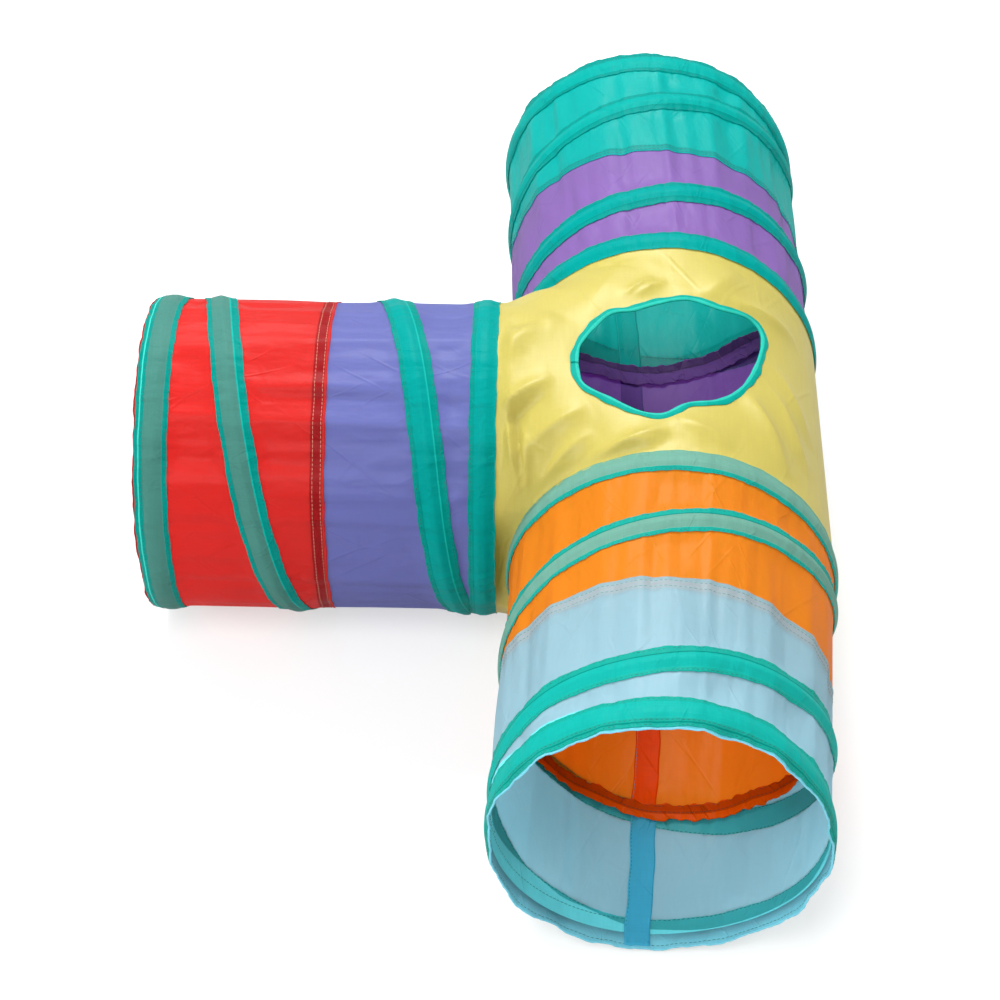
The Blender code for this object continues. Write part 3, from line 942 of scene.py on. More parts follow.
# %% Tape sections
tape_thickness = 0.22 * mm
tape_lift = 0.42 * mm
hem_lift = 0.3 * mm
ridge_height = 2.1 * mm
ridge_rounding = 0.15
loop_top_half = 2.2 * mm
loop_margin = 1.0 * mm
wire_top_half = 0.7 * mm
foot_height = floor_radius - cloth_radius - tape_lift - ridge_height
foot_angle = 270.0
foot_reach = 24.0
tape_columns = 1.5 * mm
narrow_hem = 3.9 * mm
wide_hem = 6.6 * mm
hem_step = 0.3 * mm
edge_column = 0.35 * mm
edge_drop = 0.05 * mm
edge_slope = 0.5 * mm


def tape_places(half, hems):
    """Places across a tape, closer together at its edges and its hems."""
    extra = [sign * (half - edge_column) for sign in (-1, 1)]
    for edge in hem_edges(half, hems):
        extra += [edge - hem_step, edge, edge + hem_step]
    return spread(-half, half, tape_columns, extra)


def hem_edges(half, hems):
    """Where the two hems of a tape end."""
    return -half + hems[0], half - hems[1]


def tape_section(places, half, hems):
    """Lift of a tape across its width, without its ridge."""
    low, high = hem_edges(half, hems)
    on_hems = 1 - smooth_step(places, low - hem_step, low + hem_step)
    on_hems = on_hems + smooth_step(places, high - hem_step, high + hem_step)
    edge = 1 - smooth_step(half - np.abs(places), 0, edge_slope)
    return tape_lift + hem_lift * on_hems - edge_drop * edge


def ridge_over(places, top_half, reach):
    """The tape's rise over the wire: a small flat top with a straight slope on each side."""
    share = np.clip((reach - np.abs(places)) / (reach - top_half), 0, 1)
    return (1 - ridge_rounding) * share + ridge_rounding * smooth_step(share, 0, 1)


def loop_ridge(angle, places, half):
    """Height of the ridge over the two turns of a loop, which stands on the floor.

    It is highest underneath, where the crimps and the ends of the tape lie.
    """
    foot = np.exp(-((angle - foot_angle) / foot_reach) ** 2)
    ridge = ridge_over(places, loop_top_half, half - loop_margin)
    return (ridge_height + foot_height * foot) * ridge


# %% Ring tapes and spiral tapes
junction_hems = (0.0, narrow_hem)
mouth_hems = (narrow_hem, wide_hem)
spiral_hems = (wide_hem, narrow_hem)
ring_wave, ring_waves, ring_pucker_waves = 0.45 * mm, 23, 61
spiral_wave, spiral_waves, spiral_pucker_waves = 0.5 * mm, (19, 5), (57, 7)
tape_pucker = 0.14 * mm
tape_gap = 0.3 * mm
least_width = 2.0 * mm
column_gap = 0.02 * mm
tape_middles = {
    "left": ((0, 170, 164), (86, 152, 141)),
    "front": ((124, 180, 164), (24, 188, 178)),
    "back": ((0, 170, 164), (10, 178, 170)),
}
hem_colours = {"left": (0, 162, 152), "front": (28, 178, 164), "back": (0, 160, 152)}
# Painted highlights and painted shadows along the hems' folds: pale on the left arm, dark on the
# front and back arms.
fold_light_and_shade = {"left": (24, 192, 180), "front": (0, 146, 134), "back": (0, 150, 142)}
rim_fold_light_and_shade = {"left": (76, 224, 210), "front": (0, 150, 138), "back": (0, 152, 144)}


def tape_on(arm, kind, half, hems, middles, painted_fold_line=None):
    """The name of a tape and its finish."""
    name = f"{arm['name']}_{kind}_tape"
    finish = tape_finish(name.replace("_", " "), hem_colours[arm["name"]], middles,
                         hem_edges(half, hems), painted_fold_line)
    return name, finish


def ring_tape(arm, kind, middle, half, hems, colour, painted_fold_line=None):
    """A tape sewn all round the arm over a loop of the wire. Its name's length sets its waves."""
    places = tape_places(half, hems)
    section = tape_section(places, half, hems)
    name, finish = tape_on(arm, kind, half, hems, (colour, colour), painted_fold_line)
    edge = np.abs(places) / half

    def along_at(angles):
        wave = ring_wave * ripple(arm, angles, ring_waves, len(name)) * edge ** 3
        return middle + places + wave

    def lift_at(angles, along):
        pucker = tape_pucker * (1 + ripple(arm, angles, ring_pucker_waves, len(name))) * edge ** 2
        return section + loop_ridge(angles, places, half) + pucker

    return ring_sheet(arm, name, along_at, lift_at, finish, tape_thickness, places)


def spiral_lift(arm, angle, along, places, section):
    """Lift of the spiral tape: its own section, its ridge, and the seam that it crosses."""
    ridge = ridge_height * ridge_over(places, wire_top_half, arm["tape_half"] - narrow_hem)
    return section + ridge + seam_lift(arm, angle, along)


def spiral_tape(arm):
    """The tape over the spiral, trimmed where it meets the two ring tapes."""
    half = arm["tape_half"]
    places = tape_places(half, spiral_hems)
    low_limit = junction_tape_half + tape_gap
    high_limit = arm["length"] - mouth_tape_half - tape_gap
    angle = np.floor(spiral_start) - np.arange(spiral_turns * full_turn)
    middle = wire_along(arm, spiral_start - angle)
    kept = (middle + half > low_limit + least_width)
    kept &= (middle - half < high_limit - least_width)
    angle, middle = angle[kept][::-1, None], middle[kept][::-1, None]
    arm["spiral_rows"] = (angle[:, 0], middle[:, 0])
    edge = (np.abs(places) / half) ** 3
    wave = spiral_wave * ripple(arm, angle, *spiral_waves) * edge
    crowding = np.arange(len(places)) * column_gap
    along = np.clip(middle + places + wave, low_limit + crowding, high_limit - crowding[::-1])
    pucker = tape_pucker * (1 + ripple(arm, angle, *spiral_pucker_waves)) * edge
    section = tape_section(places, half, spiral_hems)
    lift = spiral_lift(arm, angle, along, places, section) + pucker
    # The painted fold line along the wide hem's inner edge.
    painted_fold_line = (-half + wide_hem - painted_fold_half, fold_light_and_shade[arm["name"]])
    name, finish = tape_on(arm, "spiral", half, spiral_hems, tape_middles[arm["name"]], painted_fold_line)
    return arm_sheet(arm, name, angle, along, lift, finish, tape_thickness, places)


for arm in arms.values():
    name = arm["name"]
    inner_middle, outer_middle = tape_middles[name]
    tapes = {
        "junction": ring_tape(arm, "junction", 0.0, junction_tape_half, junction_hems,
                              inner_middle),
        "mouth": ring_tape(arm, "mouth", arm["length"], mouth_tape_half, mouth_hems,
                           outer_middle,
                           (mouth_tape_half - wide_hem / 2, rim_fold_light_and_shade[name])),
        "spiral": spiral_tape(arm),
    }
    for kind, tape in tapes.items():
        arm[kind + "_tape"] = stand_in(tape, f"{name}_{kind}_casing")
    arm["squashed"].append(arm["spiral_tape"])
    print(name, "tapes:", {kind: len(tape.data.vertices) for kind, tape in tapes.items()})

# %% [markdown]
# ## Seams and hems inside the arms
# Through the mouth one sees the back of the work: the ragged seam allowance between the panels,
# the lapped seam along the bottom and the cloth turned in round the mouth. They are thin
# strips of their own, because they are second layers of cloth and look darker for it: their
# deeper colours are partly the doubled cloth's own and partly painted shade.

# %% Strips inside
lining_lift = -0.75 * mm
lining_thickness = 0.22 * mm
flap_columns = 1.4 * mm
flap_lift = lining_lift - 0.5 * mm
flap_pucker, flap_pucker_waves = 1.0 * mm, (53, 1)
ragged_edge, ragged_waves = 0.9 * mm, ((29, 2), (67, 4))
side_lap_half = 10.0 * mm
side_lap_rows = 12
lap_swings = ((0.25, 17 * mm), (0.15, 6 * mm))
lap_pucker = 0.15 * mm
lap_wave = 5.0 * mm
lap_start = 0.6 * mm
lap_gap = 0.5 * mm
hem_depth = 13.0 * mm
over_hem = -0.65 * mm
hem_rise = 5.0 * mm
hem_straight = 3.0 * mm
hem_fold = ((-0.4, -0.65), (-0.1, -0.4), (0.0, -0.05), (-0.1, 0.3), (-0.4, 0.5))
hem_end = (0.9 * mm, 0.55 * mm)
hem_wave, hem_wave_reach = 0.55 * mm, 4.0 * mm
hem_waves = ((1.0, 13, 3), (0.6, 41, 6))
# Deeper and mostly darker colours than the panels': partly the doubled cloth's own and partly
# painted shade. The sewn part of the allowance is darker still.
strip_colours = {
    "left": {"inner": (104, 108, 182), "outer": (214, 42, 42), "allowance": (176, 40, 40),
             "sewn": (150, 30, 34), "hem": (196, 60, 56)},
    "front": {"inner": (236, 84, 0), "outer": (74, 182, 212), "allowance": (232, 92, 0),
              "sewn": (206, 72, 0), "hem": (124, 204, 220)},
    "back": {"inner": (132, 88, 176), "outer": (0, 168, 160), "allowance": (124, 82, 160),
             "sewn": (92, 60, 120), "hem": (0, 178, 170)},
}


def strip_finish(arm, name, which, **values):
    """The finish of a strip inside the arm."""
    return cloth_finish(f"{arm['name']} {name}", strip_colours[arm["name"]][which], **values)


def flap_middle(arm, angle):
    """The middle of the ragged allowance at an angle."""
    return seam_along(arm, angle) + arm["flap"].mean()


def flap_half(arm):
    """Half the width of the ragged allowance."""
    return (arm["flap"][1] - arm["flap"][0]) / 2


def hem_start(arm):
    """Where the turned-in cloth of the mouth begins."""
    return arm["length"] + mouth_tape_half + arm["rim"] - hem_depth


def seam_allowance(arm):
    """The ragged doubled edge inside the arm, where the two panels are joined."""
    half = flap_half(arm)
    places = spread(-half, half, flap_columns)
    edge = np.sign(places) * (np.abs(places) / half) ** 4

    def along_at(angles):
        ragged = sum(ripple(arm, angles, *waves) for waves in ragged_waves)
        return flap_middle(arm, angles) + places + ragged_edge * ragged * edge

    def lift_at(angles, along):
        pucker = flap_pucker * (1 + ripple(arm, angles, *flap_pucker_waves))
        return flap_lift - np.abs(pucker * places) / half

    # The sewn band is darker still: partly the extra layers' own colour and partly painted shade.
    finish = strip_finish(arm, "seam allowance", "allowance", size=60.0, dents=2.0, creases=0.6,
                          band=(strip_colours[arm["name"]]["sewn"], *arm["sewn"]), **strip_look)
    piece = ring_sheet(arm, arm["name"] + "_seam_allowance", along_at, lift_at, finish,
                       lining_thickness, places)
    return stand_in(piece, arm["name"] + "_seam_band")


def lap_angle(arm, along, offset):
    """The angle of the lapped seam at places along it, and a distance beside its middle."""
    wander = sum(size * np.sin(along / length) for size, length in lap_swings)
    return arm["lap_angle"] + np.degrees(offset / cloth_radius) + wander


def side_lap(arm, which, start, end):
    """The lapped seam along the bottom of a panel, inside it."""
    beside = np.linspace(-side_lap_half, side_lap_half, side_lap_rows)[:, None]
    along = spread(start, end, panel_columns)[None, :]
    angles = lap_angle(arm, along, beside)
    edge = (np.radians(angles - arm["lap_angle"]) * cloth_radius / side_lap_half) ** 2
    lift = lining_lift + over_hem * smooth_step(along, hem_start(arm) - hem_rise, hem_start(arm))
    lift = lift - lap_pucker * edge * np.sin(along / lap_wave)
    finish = strip_finish(arm, "side lap " + which, which, size=45.0, dents=1.0, **strip_look)
    piece = arm_sheet(arm, f"{arm['name']}_side_lap_{which}", angles, along, lift, finish,
                      lining_thickness)
    arm["squashed"].append(piece)
    return stand_in(piece, f"{arm['name']}_side_seam_{which}")


def turned_hem(arm):
    """The cloth turned in round the mouth, which shows as a thin uneven rim."""
    edge = mouth_tape_half + arm["rim"]
    fold = np.array(hem_fold) * mm
    straight = (edge - hem_depth, mouth_tape_half - hem_straight, mouth_tape_half)
    places = np.array((*straight, *(edge + fold[:, 0]), mouth_tape_half + hem_end[0]))
    lifts = np.array((*[lining_lift for _ in straight], *fold[:, 1], hem_end[1]))
    share = smooth_step(places, edge - hem_wave_reach, edge)

    def along_at(angles):
        wave = sum(size * ripple(arm, angles, *waves) for size, *waves in hem_waves)
        return arm["length"] + places + hem_wave * wave * share

    finish = strip_finish(arm, "turned hem", "hem", size=70.0, dents=0.4, glow=hem_glow)
    piece = ring_sheet(arm, arm["name"] + "_turned_hem", along_at, lambda angles, along: lifts,
                       finish, lining_thickness)
    return stand_in(piece, arm["name"] + "_mouth_hem")


for arm in arms.values():
    arm["allowance"] = seam_allowance(arm)
    under_flap = float(flap_middle(arm, arm["lap_angle"]))
    lap_end = arm["length"] + mouth_tape_half - lap_gap
    arm["lap_inner"] = side_lap(arm, "inner", lap_start, under_flap)
    arm["lap_outer"] = side_lap(arm, "outer", under_flap + lap_gap, lap_end)
    arm["hem"] = turned_hem(arm)
    print(arm["name"], "strips made, the lapped seam from", round(lap_start / mm, 1), "to",
          round(lap_end / mm, 1), "mm")

# %% [markdown]
# ## Wire and crimps
# The wire runs unbroken through both loops and the spiral, hidden by its tapes, and a crimp
# closes each loop. They replace the plain CAD ones only because a piece that is pushed flat has
# to be soft here, and the crimps have to sit on the same wire.

# %% Wire and crimp meshes
wire_sides = 8
wire_rows_per_turn = 60
crimp_angles = {"junction": (264.75, 275.25), "mouth": (279.75, 290.25)}
crimp_rows = 8
crimp_sides = 24
crimp_half_width = 3.0 * mm
crimp_half_height = 1.15 * mm
crimp_wall = 0.2 * mm
crimp_corners = 0.45
weld_distance = 0.01 * mm


def close_tube(piece, fill_ends):
    """Join the long edges of a rolled-up sheet, close its ends and turn its faces outward."""
    shape = bmesh.new()
    shape.from_mesh(piece.data)
    bmesh.ops.remove_doubles(shape, verts=shape.verts, dist=weld_distance)
    if fill_ends:
        bmesh.ops.holes_fill(shape, edges=shape.edges, sides=wire_sides)
    bmesh.ops.recalc_face_normals(shape, faces=shape.faces)
    shape.to_mesh(piece.data)
    shape.free()


def tube_on_wire(arm, name, angle, along, height, finish, thickness):
    """A tube whose places are heights over the wire's own circle, which has no slack."""
    lift = hoop_radius - cloth_radius + height - slack(arm, angle, along)
    piece = arm_sheet(arm, name, angle, along, lift, finish, thickness)
    close_tube(piece, fill_ends=not thickness)
    return piece


def spring_wire(arm):
    """One unbroken wire, as a tube swept along its own line."""
    turned = np.linspace(-full_turn, (spiral_turns + 1) * full_turn,
                         (spiral_turns + 2) * wire_rows_per_turn + 1)[::-1, None]
    around = np.linspace(0, math.tau, wire_sides + 1)[None, :]
    along = wire_along(arm, turned) + wire_radius * np.cos(around)
    piece = tube_on_wire(arm, arm["name"] + "_wire", spiral_start - turned, along,
                         wire_radius * np.sin(around), wire_finish, 0.0)
    arm["squashed"].append(piece)
    return stand_in(piece, arm["name"] + "_spring_wire")


def crimp(arm, which, middle):
    """A flat sleeve of steel pressed round the two turns of a loop."""
    angle = np.linspace(*crimp_angles[which], crimp_rows)[None, :]
    around = np.linspace(0, math.tau, crimp_sides + 1)[:, None]
    across, height = [np.sign(value) * np.abs(value) ** crimp_corners
                      for value in (np.cos(around), np.sin(around))]
    piece = tube_on_wire(arm, f"{arm['name']}_{which}_sleeve", angle,
                         middle + crimp_half_width * across, crimp_half_height * height,
                         sleeve_finish, crimp_wall)
    return stand_in(piece, f"{arm['name']}_{which}_crimp")


for arm in arms.values():
    arm["wire"] = spring_wire(arm)
    arm["junction_sleeve"] = crimp(arm, "junction", 0.0)
    arm["mouth_sleeve"] = crimp(arm, "mouth", arm["length"])
    print(arm["name"], "wire:", len(arm["wire"].data.vertices), "points")

# %% [markdown]
# ## Stitches
# Every seam is sewn in small straight stitches. From a step away a row of them is a dark broken
# line, and a drawn line would do, but these also have to hold up close to. So each stitch is a
# small solid, and all stitches of a row are made in one go from its line.

# %% Stitch rows
stitch_pitch = 3.5 * mm
stitch_length = 2.7 * mm
stitch_half_width = 0.3 * mm
stitch_half_height = 0.16 * mm
section_places = (-0.5, 0.0, 0.5)
section_sizes = (0.55, 1.0, 0.55)
section_lifts = (-0.1 * mm, 0.04 * mm, -0.1 * mm)
section_corners = ((1, 0), (0, 1), (-1, 0), (0, -1))
points_per_stitch = len(section_places) * len(section_corners)


def reached_along(line):
    """How far along a line of points each of them lies."""
    return np.concatenate(([0], np.cumsum(np.linalg.norm(np.diff(line, axis=0), axis=1))))


def steps_on(line, values, steps):
    """Values that go with a line's points, found at steps of distance along the line."""
    return np.stack([np.interp(steps, reached_along(line), part) for part in values.T], -1)


def unit(vectors):
    """Vectors in rows, each made one metre long."""
    return vectors / np.linalg.norm(vectors, axis=1, keepdims=True)


def stitch_places(line, outward):
    """Points, directions and outward directions at even steps along a line of points."""
    end = reached_along(line)[-1] - stitch_pitch / 2
    steps = np.arange(stitch_pitch / 2, end, stitch_pitch)
    points = steps_on(line, line, steps)
    direction = unit(steps_on(line, line, steps + stitch_length / 2) - points)
    normals = steps_on(line, outward, steps)
    normals -= (normals * direction).sum(1, keepdims=True) * direction
    return points, direction, unit(normals)


def stitch_faces():
    """The faces of one stitch: a spindle of square sections with two ends."""
    corners = len(section_corners)
    faces = [(3, 2, 1, 0), tuple(range(points_per_stitch - corners, points_per_stitch))]
    for base in range(0, points_per_stitch - corners, corners):
        for corner in range(corners):
            after = (corner + 1) % corners
            faces.append((base + corner, base + after, base + corners + after,
                          base + corners + corner))
    return np.array(faces)


def stitches(name, runs, finish):
    """A piece made of all the stitches of these runs, each a (line, its outward directions)."""
    points = []
    for line, outward in runs:
        middle, direction, normal = stitch_places(line, outward)
        beside = np.cross(direction, normal)
        corners = []
        for place, size, lift in zip(section_places, section_sizes, section_lifts):
            for right, above in section_corners:
                corners.append(middle + direction * place * stitch_length
                               + beside * right * size * stitch_half_width
                               + normal * (above * size * stitch_half_height + lift))
        points.append(np.stack(corners, 1).reshape(-1, 3))
    points = np.concatenate(points)
    first = np.arange(0, len(points), points_per_stitch)[:, None, None]
    mesh = bpy.data.meshes.new(name)
    mesh.from_pydata(points.tolist(), [], (first + stitch_faces()).reshape(-1, 4).tolist())
    return add_piece(name, mesh, finish)


# %% Rows on the arms
thread_colours = {
    "tape": {"left": (0, 108, 102), "front": (0, 112, 104), "back": (0, 112, 106)},
    "seam": {"left": (196, 120, 96), "front": (80, 160, 170), "back": (10, 110, 116)},
    "inside": {"left": (110, 34, 34), "front": (100, 52, 16), "back": (44, 28, 64)},
    "lap": {"left": (120, 40, 40), "front": (20, 142, 150), "back": (20, 110, 110)},
}
stitch_inset = 1.7 * mm
wide_hem_inset = 1.4 * mm
lip_inset = 0.7 * mm
band_inset = 1.8 * mm
strip_inset = 1.2 * mm
end_gap = 2.0 * mm
flap_gap = 1.0 * mm
lap_row_start = 3.0 * mm
lap_row_points = 60
hem_top = tape_lift + hem_lift + 0.05 * mm
band_top = band_lift + 0.06 * mm
inner_face = -panel_thickness - 0.1 * mm
lining_face = lining_lift - lining_thickness
lap_face = lining_face - 0.1 * mm
hem_face = lining_face - 0.12 * mm
flap_face = lining_face - 1.1 * mm


def round_run(arm, along_at, lift, inside=False):
    """A line all round an arm, for stitches on or inside the cloth."""
    angle = np.arange(full_turn + 1)
    sign = -1 if inside else 1
    return arm_point(arm, angle, along_at(angle), lift), sign * arm_outward(arm, angle)


def loop_run(arm, middle, place, half):
    """A line of stitches round a ring tape, on its hem."""
    lift = hem_top + loop_ridge(np.arange(full_turn + 1), place, half)
    return round_run(arm, lambda angle: middle + place, lift)


def spiral_run(arm, across, inside=False):
    """A line along the spiral tape, on it or inside the cloth beneath it."""
    angle, middle = arm["spiral_rows"]
    along = middle + across
    kept = (along > junction_tape_half + end_gap)
    kept &= (along < arm["length"] - mouth_tape_half - end_gap)
    angle, along = angle[kept], along[kept]
    if inside:
        return arm_point(arm, angle, along, inner_face), -arm_outward(arm, angle)
    lift = spiral_lift(arm, angle, along, across, hem_top)
    return arm_point(arm, angle, along, lift), arm_outward(arm, angle)


def lap_run(arm, start, end):
    """A line along the lapped seam inside an arm."""
    along = np.linspace(start, end, lap_row_points)
    angle = lap_angle(arm, along, side_lap_half - strip_inset)
    return arm_point(arm, angle, along, lap_face), -arm_outward(arm, angle)


def stitch_rows(arm):
    """The rows on one arm by what they move with, each with its thread and its lines."""
    length, half = arm["length"], arm["tape_half"] - stitch_inset
    outer = mouth_tape_half - stitch_inset
    inner_row = junction_tape_half - stitch_inset
    mouth_rows = (-outer, mouth_tape_half - wide_hem + wide_hem_inset, outer)
    sewn = arm["sewn"] - arm["flap"].mean()
    flap_start, flap_end = flap_middle(arm, arm["lap_angle"]) + flap_half(arm) * np.array((-1, 1))
    return {
        "junction": ("tape", [loop_run(arm, 0.0, inner_row, junction_tape_half)]),
        "mouth": ("tape", [loop_run(arm, length, place, mouth_tape_half) for place in mouth_rows]
                  + [round_run(arm, lambda angle: length + place, face, inside=True)
                     for place, face in ((-outer, inner_face), (outer, hem_face))]),
        "spiral": ("tape", [spiral_run(arm, sign * half, inside)
                            for sign in (-1, 1) for inside in (False, True)]),
        "seam": ("seam", [round_run(arm, lambda angle: seam_along(arm, angle) + place, band_top)
                          for place in (lip_width + lip_inset, arm["band_width"] - band_inset)]),
        "allowance": ("inside", [round_run(arm, lambda angle: flap_middle(arm, angle) + place,
                                           flap_face, inside=True)
                                 for place in (sewn[0] + strip_inset, sewn[1] - strip_inset)]),
        "lap": ("lap", [lap_run(arm, lap_row_start, flap_start - flap_gap),
                        lap_run(arm, flap_end + flap_gap, hem_start(arm) - end_gap)]),
    }


for arm in arms.values():
    name = arm["name"]
    threads = {kind: thread_finish(f"{name} {kind} thread", colours[name])
               for kind, colours in thread_colours.items()}
    for kind, (thread, runs) in stitch_rows(arm).items():
        arm[kind + "_stitches"] = stitches(f"{name}_{kind}_stitches", runs, threads[thread])
    arm["squashed"] += [arm[kind + "_stitches"] for kind in ("spiral", "seam", "lap")]
    print(name, "stitches:", len(arm["spiral_stitches"].data.vertices) // points_per_stitch,
          "along the spiral")

# %% [markdown]
# ## The junction
# The yellow cloth spans three hoops. Round the right side it is a plain half tube. On the left
# it is pulled taut between the hoops, so at each height a smooth line runs from the front or
# back hoop to the left hoop. Cutting two tubes into each other, as the CAD model does, leaves a
# crease that the taut cloth doesn't have.

# %% Lines of the junction cloth
through_reach = hoop_radius
left_reach = float(crossing[0] - arms["left"]["centre"][0])
tape_margin = junction_tape_half + 0.5 * mm
inner_edge = through_reach - tape_margin
left_edge = left_reach - tape_margin
corner_limit = 111.0 * mm
tautness = 0.3
corner_tautness = 0.16
side_sharpness = 6
junction_rows = 132
curve_columns = 76
straight_columns = 5
merge_distance = 0.05 * mm


def level_line(half_width, share, sign):
    """The line at one height from the through hoop (share 0) to the left hoop (share 1)."""
    width = half_width[:, None]
    inside = np.minimum(width, corner_limit)
    near_side = (width / cloth_radius) ** side_sharpness
    pull = tautness * (1 - near_side) + corner_tautness * near_side
    controls = (
        (-width, -inner_edge + 0 * width),
        (-width, -inner_edge + tautness * (inner_edge - inside)),
        (-left_edge + pull * (left_edge - inside), -inside),
        (-left_edge + 0 * width, -width),
    )
    weights = ((1 - share) ** 3, 3 * share * (1 - share) ** 2,
               3 * share ** 2 * (1 - share), share ** 3)
    x, y = [sum(control[part] * weight for control, weight in zip(controls, weights))
            for part in range(2)]
    return x, -sign * y


def patch(x, y, z):
    """A grid of points from coordinates that are spread over each other."""
    return np.stack(np.broadcast_arrays(x, y, z), -1)


def junction_patches():
    """The junction cloth as patches of rows: right half, two corners, and two flat tops."""
    angle = np.radians(np.linspace(-90, 90, junction_rows))[:, None]
    half_width, height = cloth_radius * np.cos(angle), cloth_radius * np.sin(angle)
    share = np.linspace(0, 1, curve_columns)
    start = np.linspace(through_reach, inner_edge, straight_columns)[:-1]
    end = np.linspace(left_edge, left_reach, straight_columns)[1:]
    middle = np.linspace(-inner_edge, inner_edge, curve_columns)
    across = np.concatenate((-start, middle, start[::-1]))
    patches = [patch(half_width, across, height)]
    for sign in (-1, 1):
        x, y = level_line(half_width[:, 0], share, sign)
        x = np.concatenate((-half_width + 0 * start, x, 0 * half_width - end), 1)
        y = np.concatenate((sign * start + 0 * half_width, y, sign * half_width + 0 * end), 1)
        patches.append(patch(x, y, height))
    x, y = level_line(np.zeros(1), share, 1)
    side = np.linspace(-1, 1, curve_columns)
    patches += [patch(x.T + 0 * side, y.T * side, top) for top in (-cloth_radius, cloth_radius)]
    return patches


def join_patches(patches):
    """One mesh of all the patches, with their shared edges joined and faces turned outward."""
    shape = bmesh.new()
    for points in patches:
        rows, columns = points.shape[:2]
        corners = [shape.verts.new(point) for point in points.reshape(-1, 3)]
        for row in range(rows - 1):
            for column in range(columns - 1):
                first = row * columns + column
                shape.faces.new([corners[number] for number in
                                 (first, first + 1, first + columns + 1, first + columns)])
    bmesh.ops.remove_doubles(shape, verts=shape.verts, dist=merge_distance)
    bmesh.ops.recalc_face_normals(shape, faces=shape.faces)
    shape.normal_update()
    top = max(shape.faces, key=lambda face: face.calc_center_median().z)
    if top.normal.z < 0:
        bmesh.ops.reverse_faces(shape, faces=shape.faces)
    return shape


junction = join_patches(junction_patches())
print("junction cloth:", len(junction.verts), "points before its opening is cut")

# %% Tension folds and the opening
peephole_outline = ((-74, -11), (-74, -28), (-69, -45), (-49, -60), (-28, -74), (-10, -77),
                    (8, -65), (30, -57), (47, -40), (60, -12), (69, 22), (70, 43), (60, 52),
                    (36, 50), (12, 54), (-10, 49), (-31, 40), (-48, 36), (-61, 20), (-71, 2))
outline_points = 800
knot_steps = 40
junction_thickness = 0.25 * mm
snap_reach = 1.5 * mm
tension_folds = (
    ((-134, -58), (-80, -30), 7, 10.0), ((-134, -72), (-86, -46), 6, -6.0),
    ((-134, -14), (-80, 50), 15, 11.0), ((-127, -66), (-112, -118), 5, 11.0),
    ((-119, -68), (-110, -114), 5, -8.0), ((-112, -78), (-108, -118), 5, 8.0),
    ((-106, -84), (-54, -60), 9, 9.0), ((-104, -110), (-50, -82), 7, 7.5),
    ((-60, -114), (16, -82), 8, 8.5), ((2, -84), (54, -108), 9, 7.0),
    ((56, -44), (90, -120), 8, 10.0), ((78, -24), (106, -94), 7, 6.5),
    ((84, 4), (112, -54), 7, 6.0), ((54, 60), (114, 72), 8, 8.0),
    ((26, 60), (62, 114), 12, 8.0), ((-34, 60), (-8, 82), 4, 5.0),
    ((-26, 58), (2, 80), 4, 4.0), ((-60, 52), (-34, 110), 13, 4.5),
    ((-122, 98), (-60, 52), 12, 4.0), ((-134, 24), (-84, 20), 10, -6.5),
)
pleat_count = 26
pleat_side = 112
pleat_hoops = (-114, 114, -134)
pleat_aims = ((-50, 60), (-60, 60))
pleat_length = (16, 46)
pleat_width = (5.0, 9.0)
pleat_height = 2.2
crest_rounding = 0.06
crest_start = 0.2
pleat_seed = 12
held_strip = 11.0 * mm
steep_part = 0.5
edge_hold = 0.25
held_edge = 12.0 * mm


def make_pleats():
    """Short pleats that start at the hoops and point at the middle, like the named folds."""
    random = np.random.RandomState(pleat_seed)
    front, back, left = pleat_hoops
    pleats = []
    for number in range(pleat_count):
        place = random.uniform(-pleat_side, pleat_side)
        start = ((place, front), (place, back), (left, place))[number % 3]
        aim = np.array([random.uniform(*limits) for limits in pleat_aims]) - start
        end = start + aim / np.linalg.norm(aim) * random.uniform(*pleat_length)
        height = random.uniform(0.5, 1) * pleat_height * random.choice((-1, 1))
        pleats.append((start, tuple(end), random.uniform(*pleat_width), height))
    return pleats


def closed_curve(knots, count):
    """A smooth closed line through points, as count even steps and the way ahead at each."""
    knots = np.array(knots, float) * mm
    before, after, second = (np.roll(knots, shift, axis=0) for shift in (1, -1, -2))
    share = np.linspace(0, 1, knot_steps, endpoint=False)[None, :, None]
    line = 0.5 * (2 * knots[:, None] + (after - before)[:, None] * share
                  + (2 * before - 5 * knots + 4 * after - second)[:, None] * share ** 2
                  + (3 * knots - before - 3 * after + second)[:, None] * share ** 3)
    line = line.reshape(-1, 2)
    closed = np.concatenate((line, line[:1]))
    steps = np.linspace(0, reached_along(closed)[-1], count, endpoint=False)
    even = steps_on(closed, closed, steps)
    return even, unit(np.roll(even, -1, axis=0) - np.roll(even, 1, axis=0))


def fold_heights(places, folds):
    """Heights of the folds at places seen from above. A fold is highest near its start."""
    total = np.zeros(len(places))
    for start, end, width, height in folds:
        line = (np.array(end) - start) * mm
        offsets = places - np.array(start) * mm
        share = np.clip(offsets @ line / (line @ line), 0, 1)
        gaps = np.linalg.norm(offsets - share[:, None] * line, axis=1) / (width * mm)
        crest = np.exp(-np.sqrt(gaps ** 2 + crest_rounding))
        total += height * mm * crest * np.sin(np.pi * np.minimum(share + crest_start, 1))
    return total


outline, outline_ahead = closed_curve(peephole_outline, outline_points)
outline_tree = KDTree(len(outline))
for number, place in enumerate(outline):
    outline_tree.insert((*place, 0), number)
outline_tree.balance()


def past_outline(place):
    """How far a place seen from above lies outside the opening, and the outline's point."""
    _, nearest, _ = outline_tree.find((*place, 0))
    offset = np.array(place) - outline[nearest]
    ahead = outline_ahead[nearest]
    return ahead[1] * offset[0] - ahead[0] * offset[1], outline[nearest]


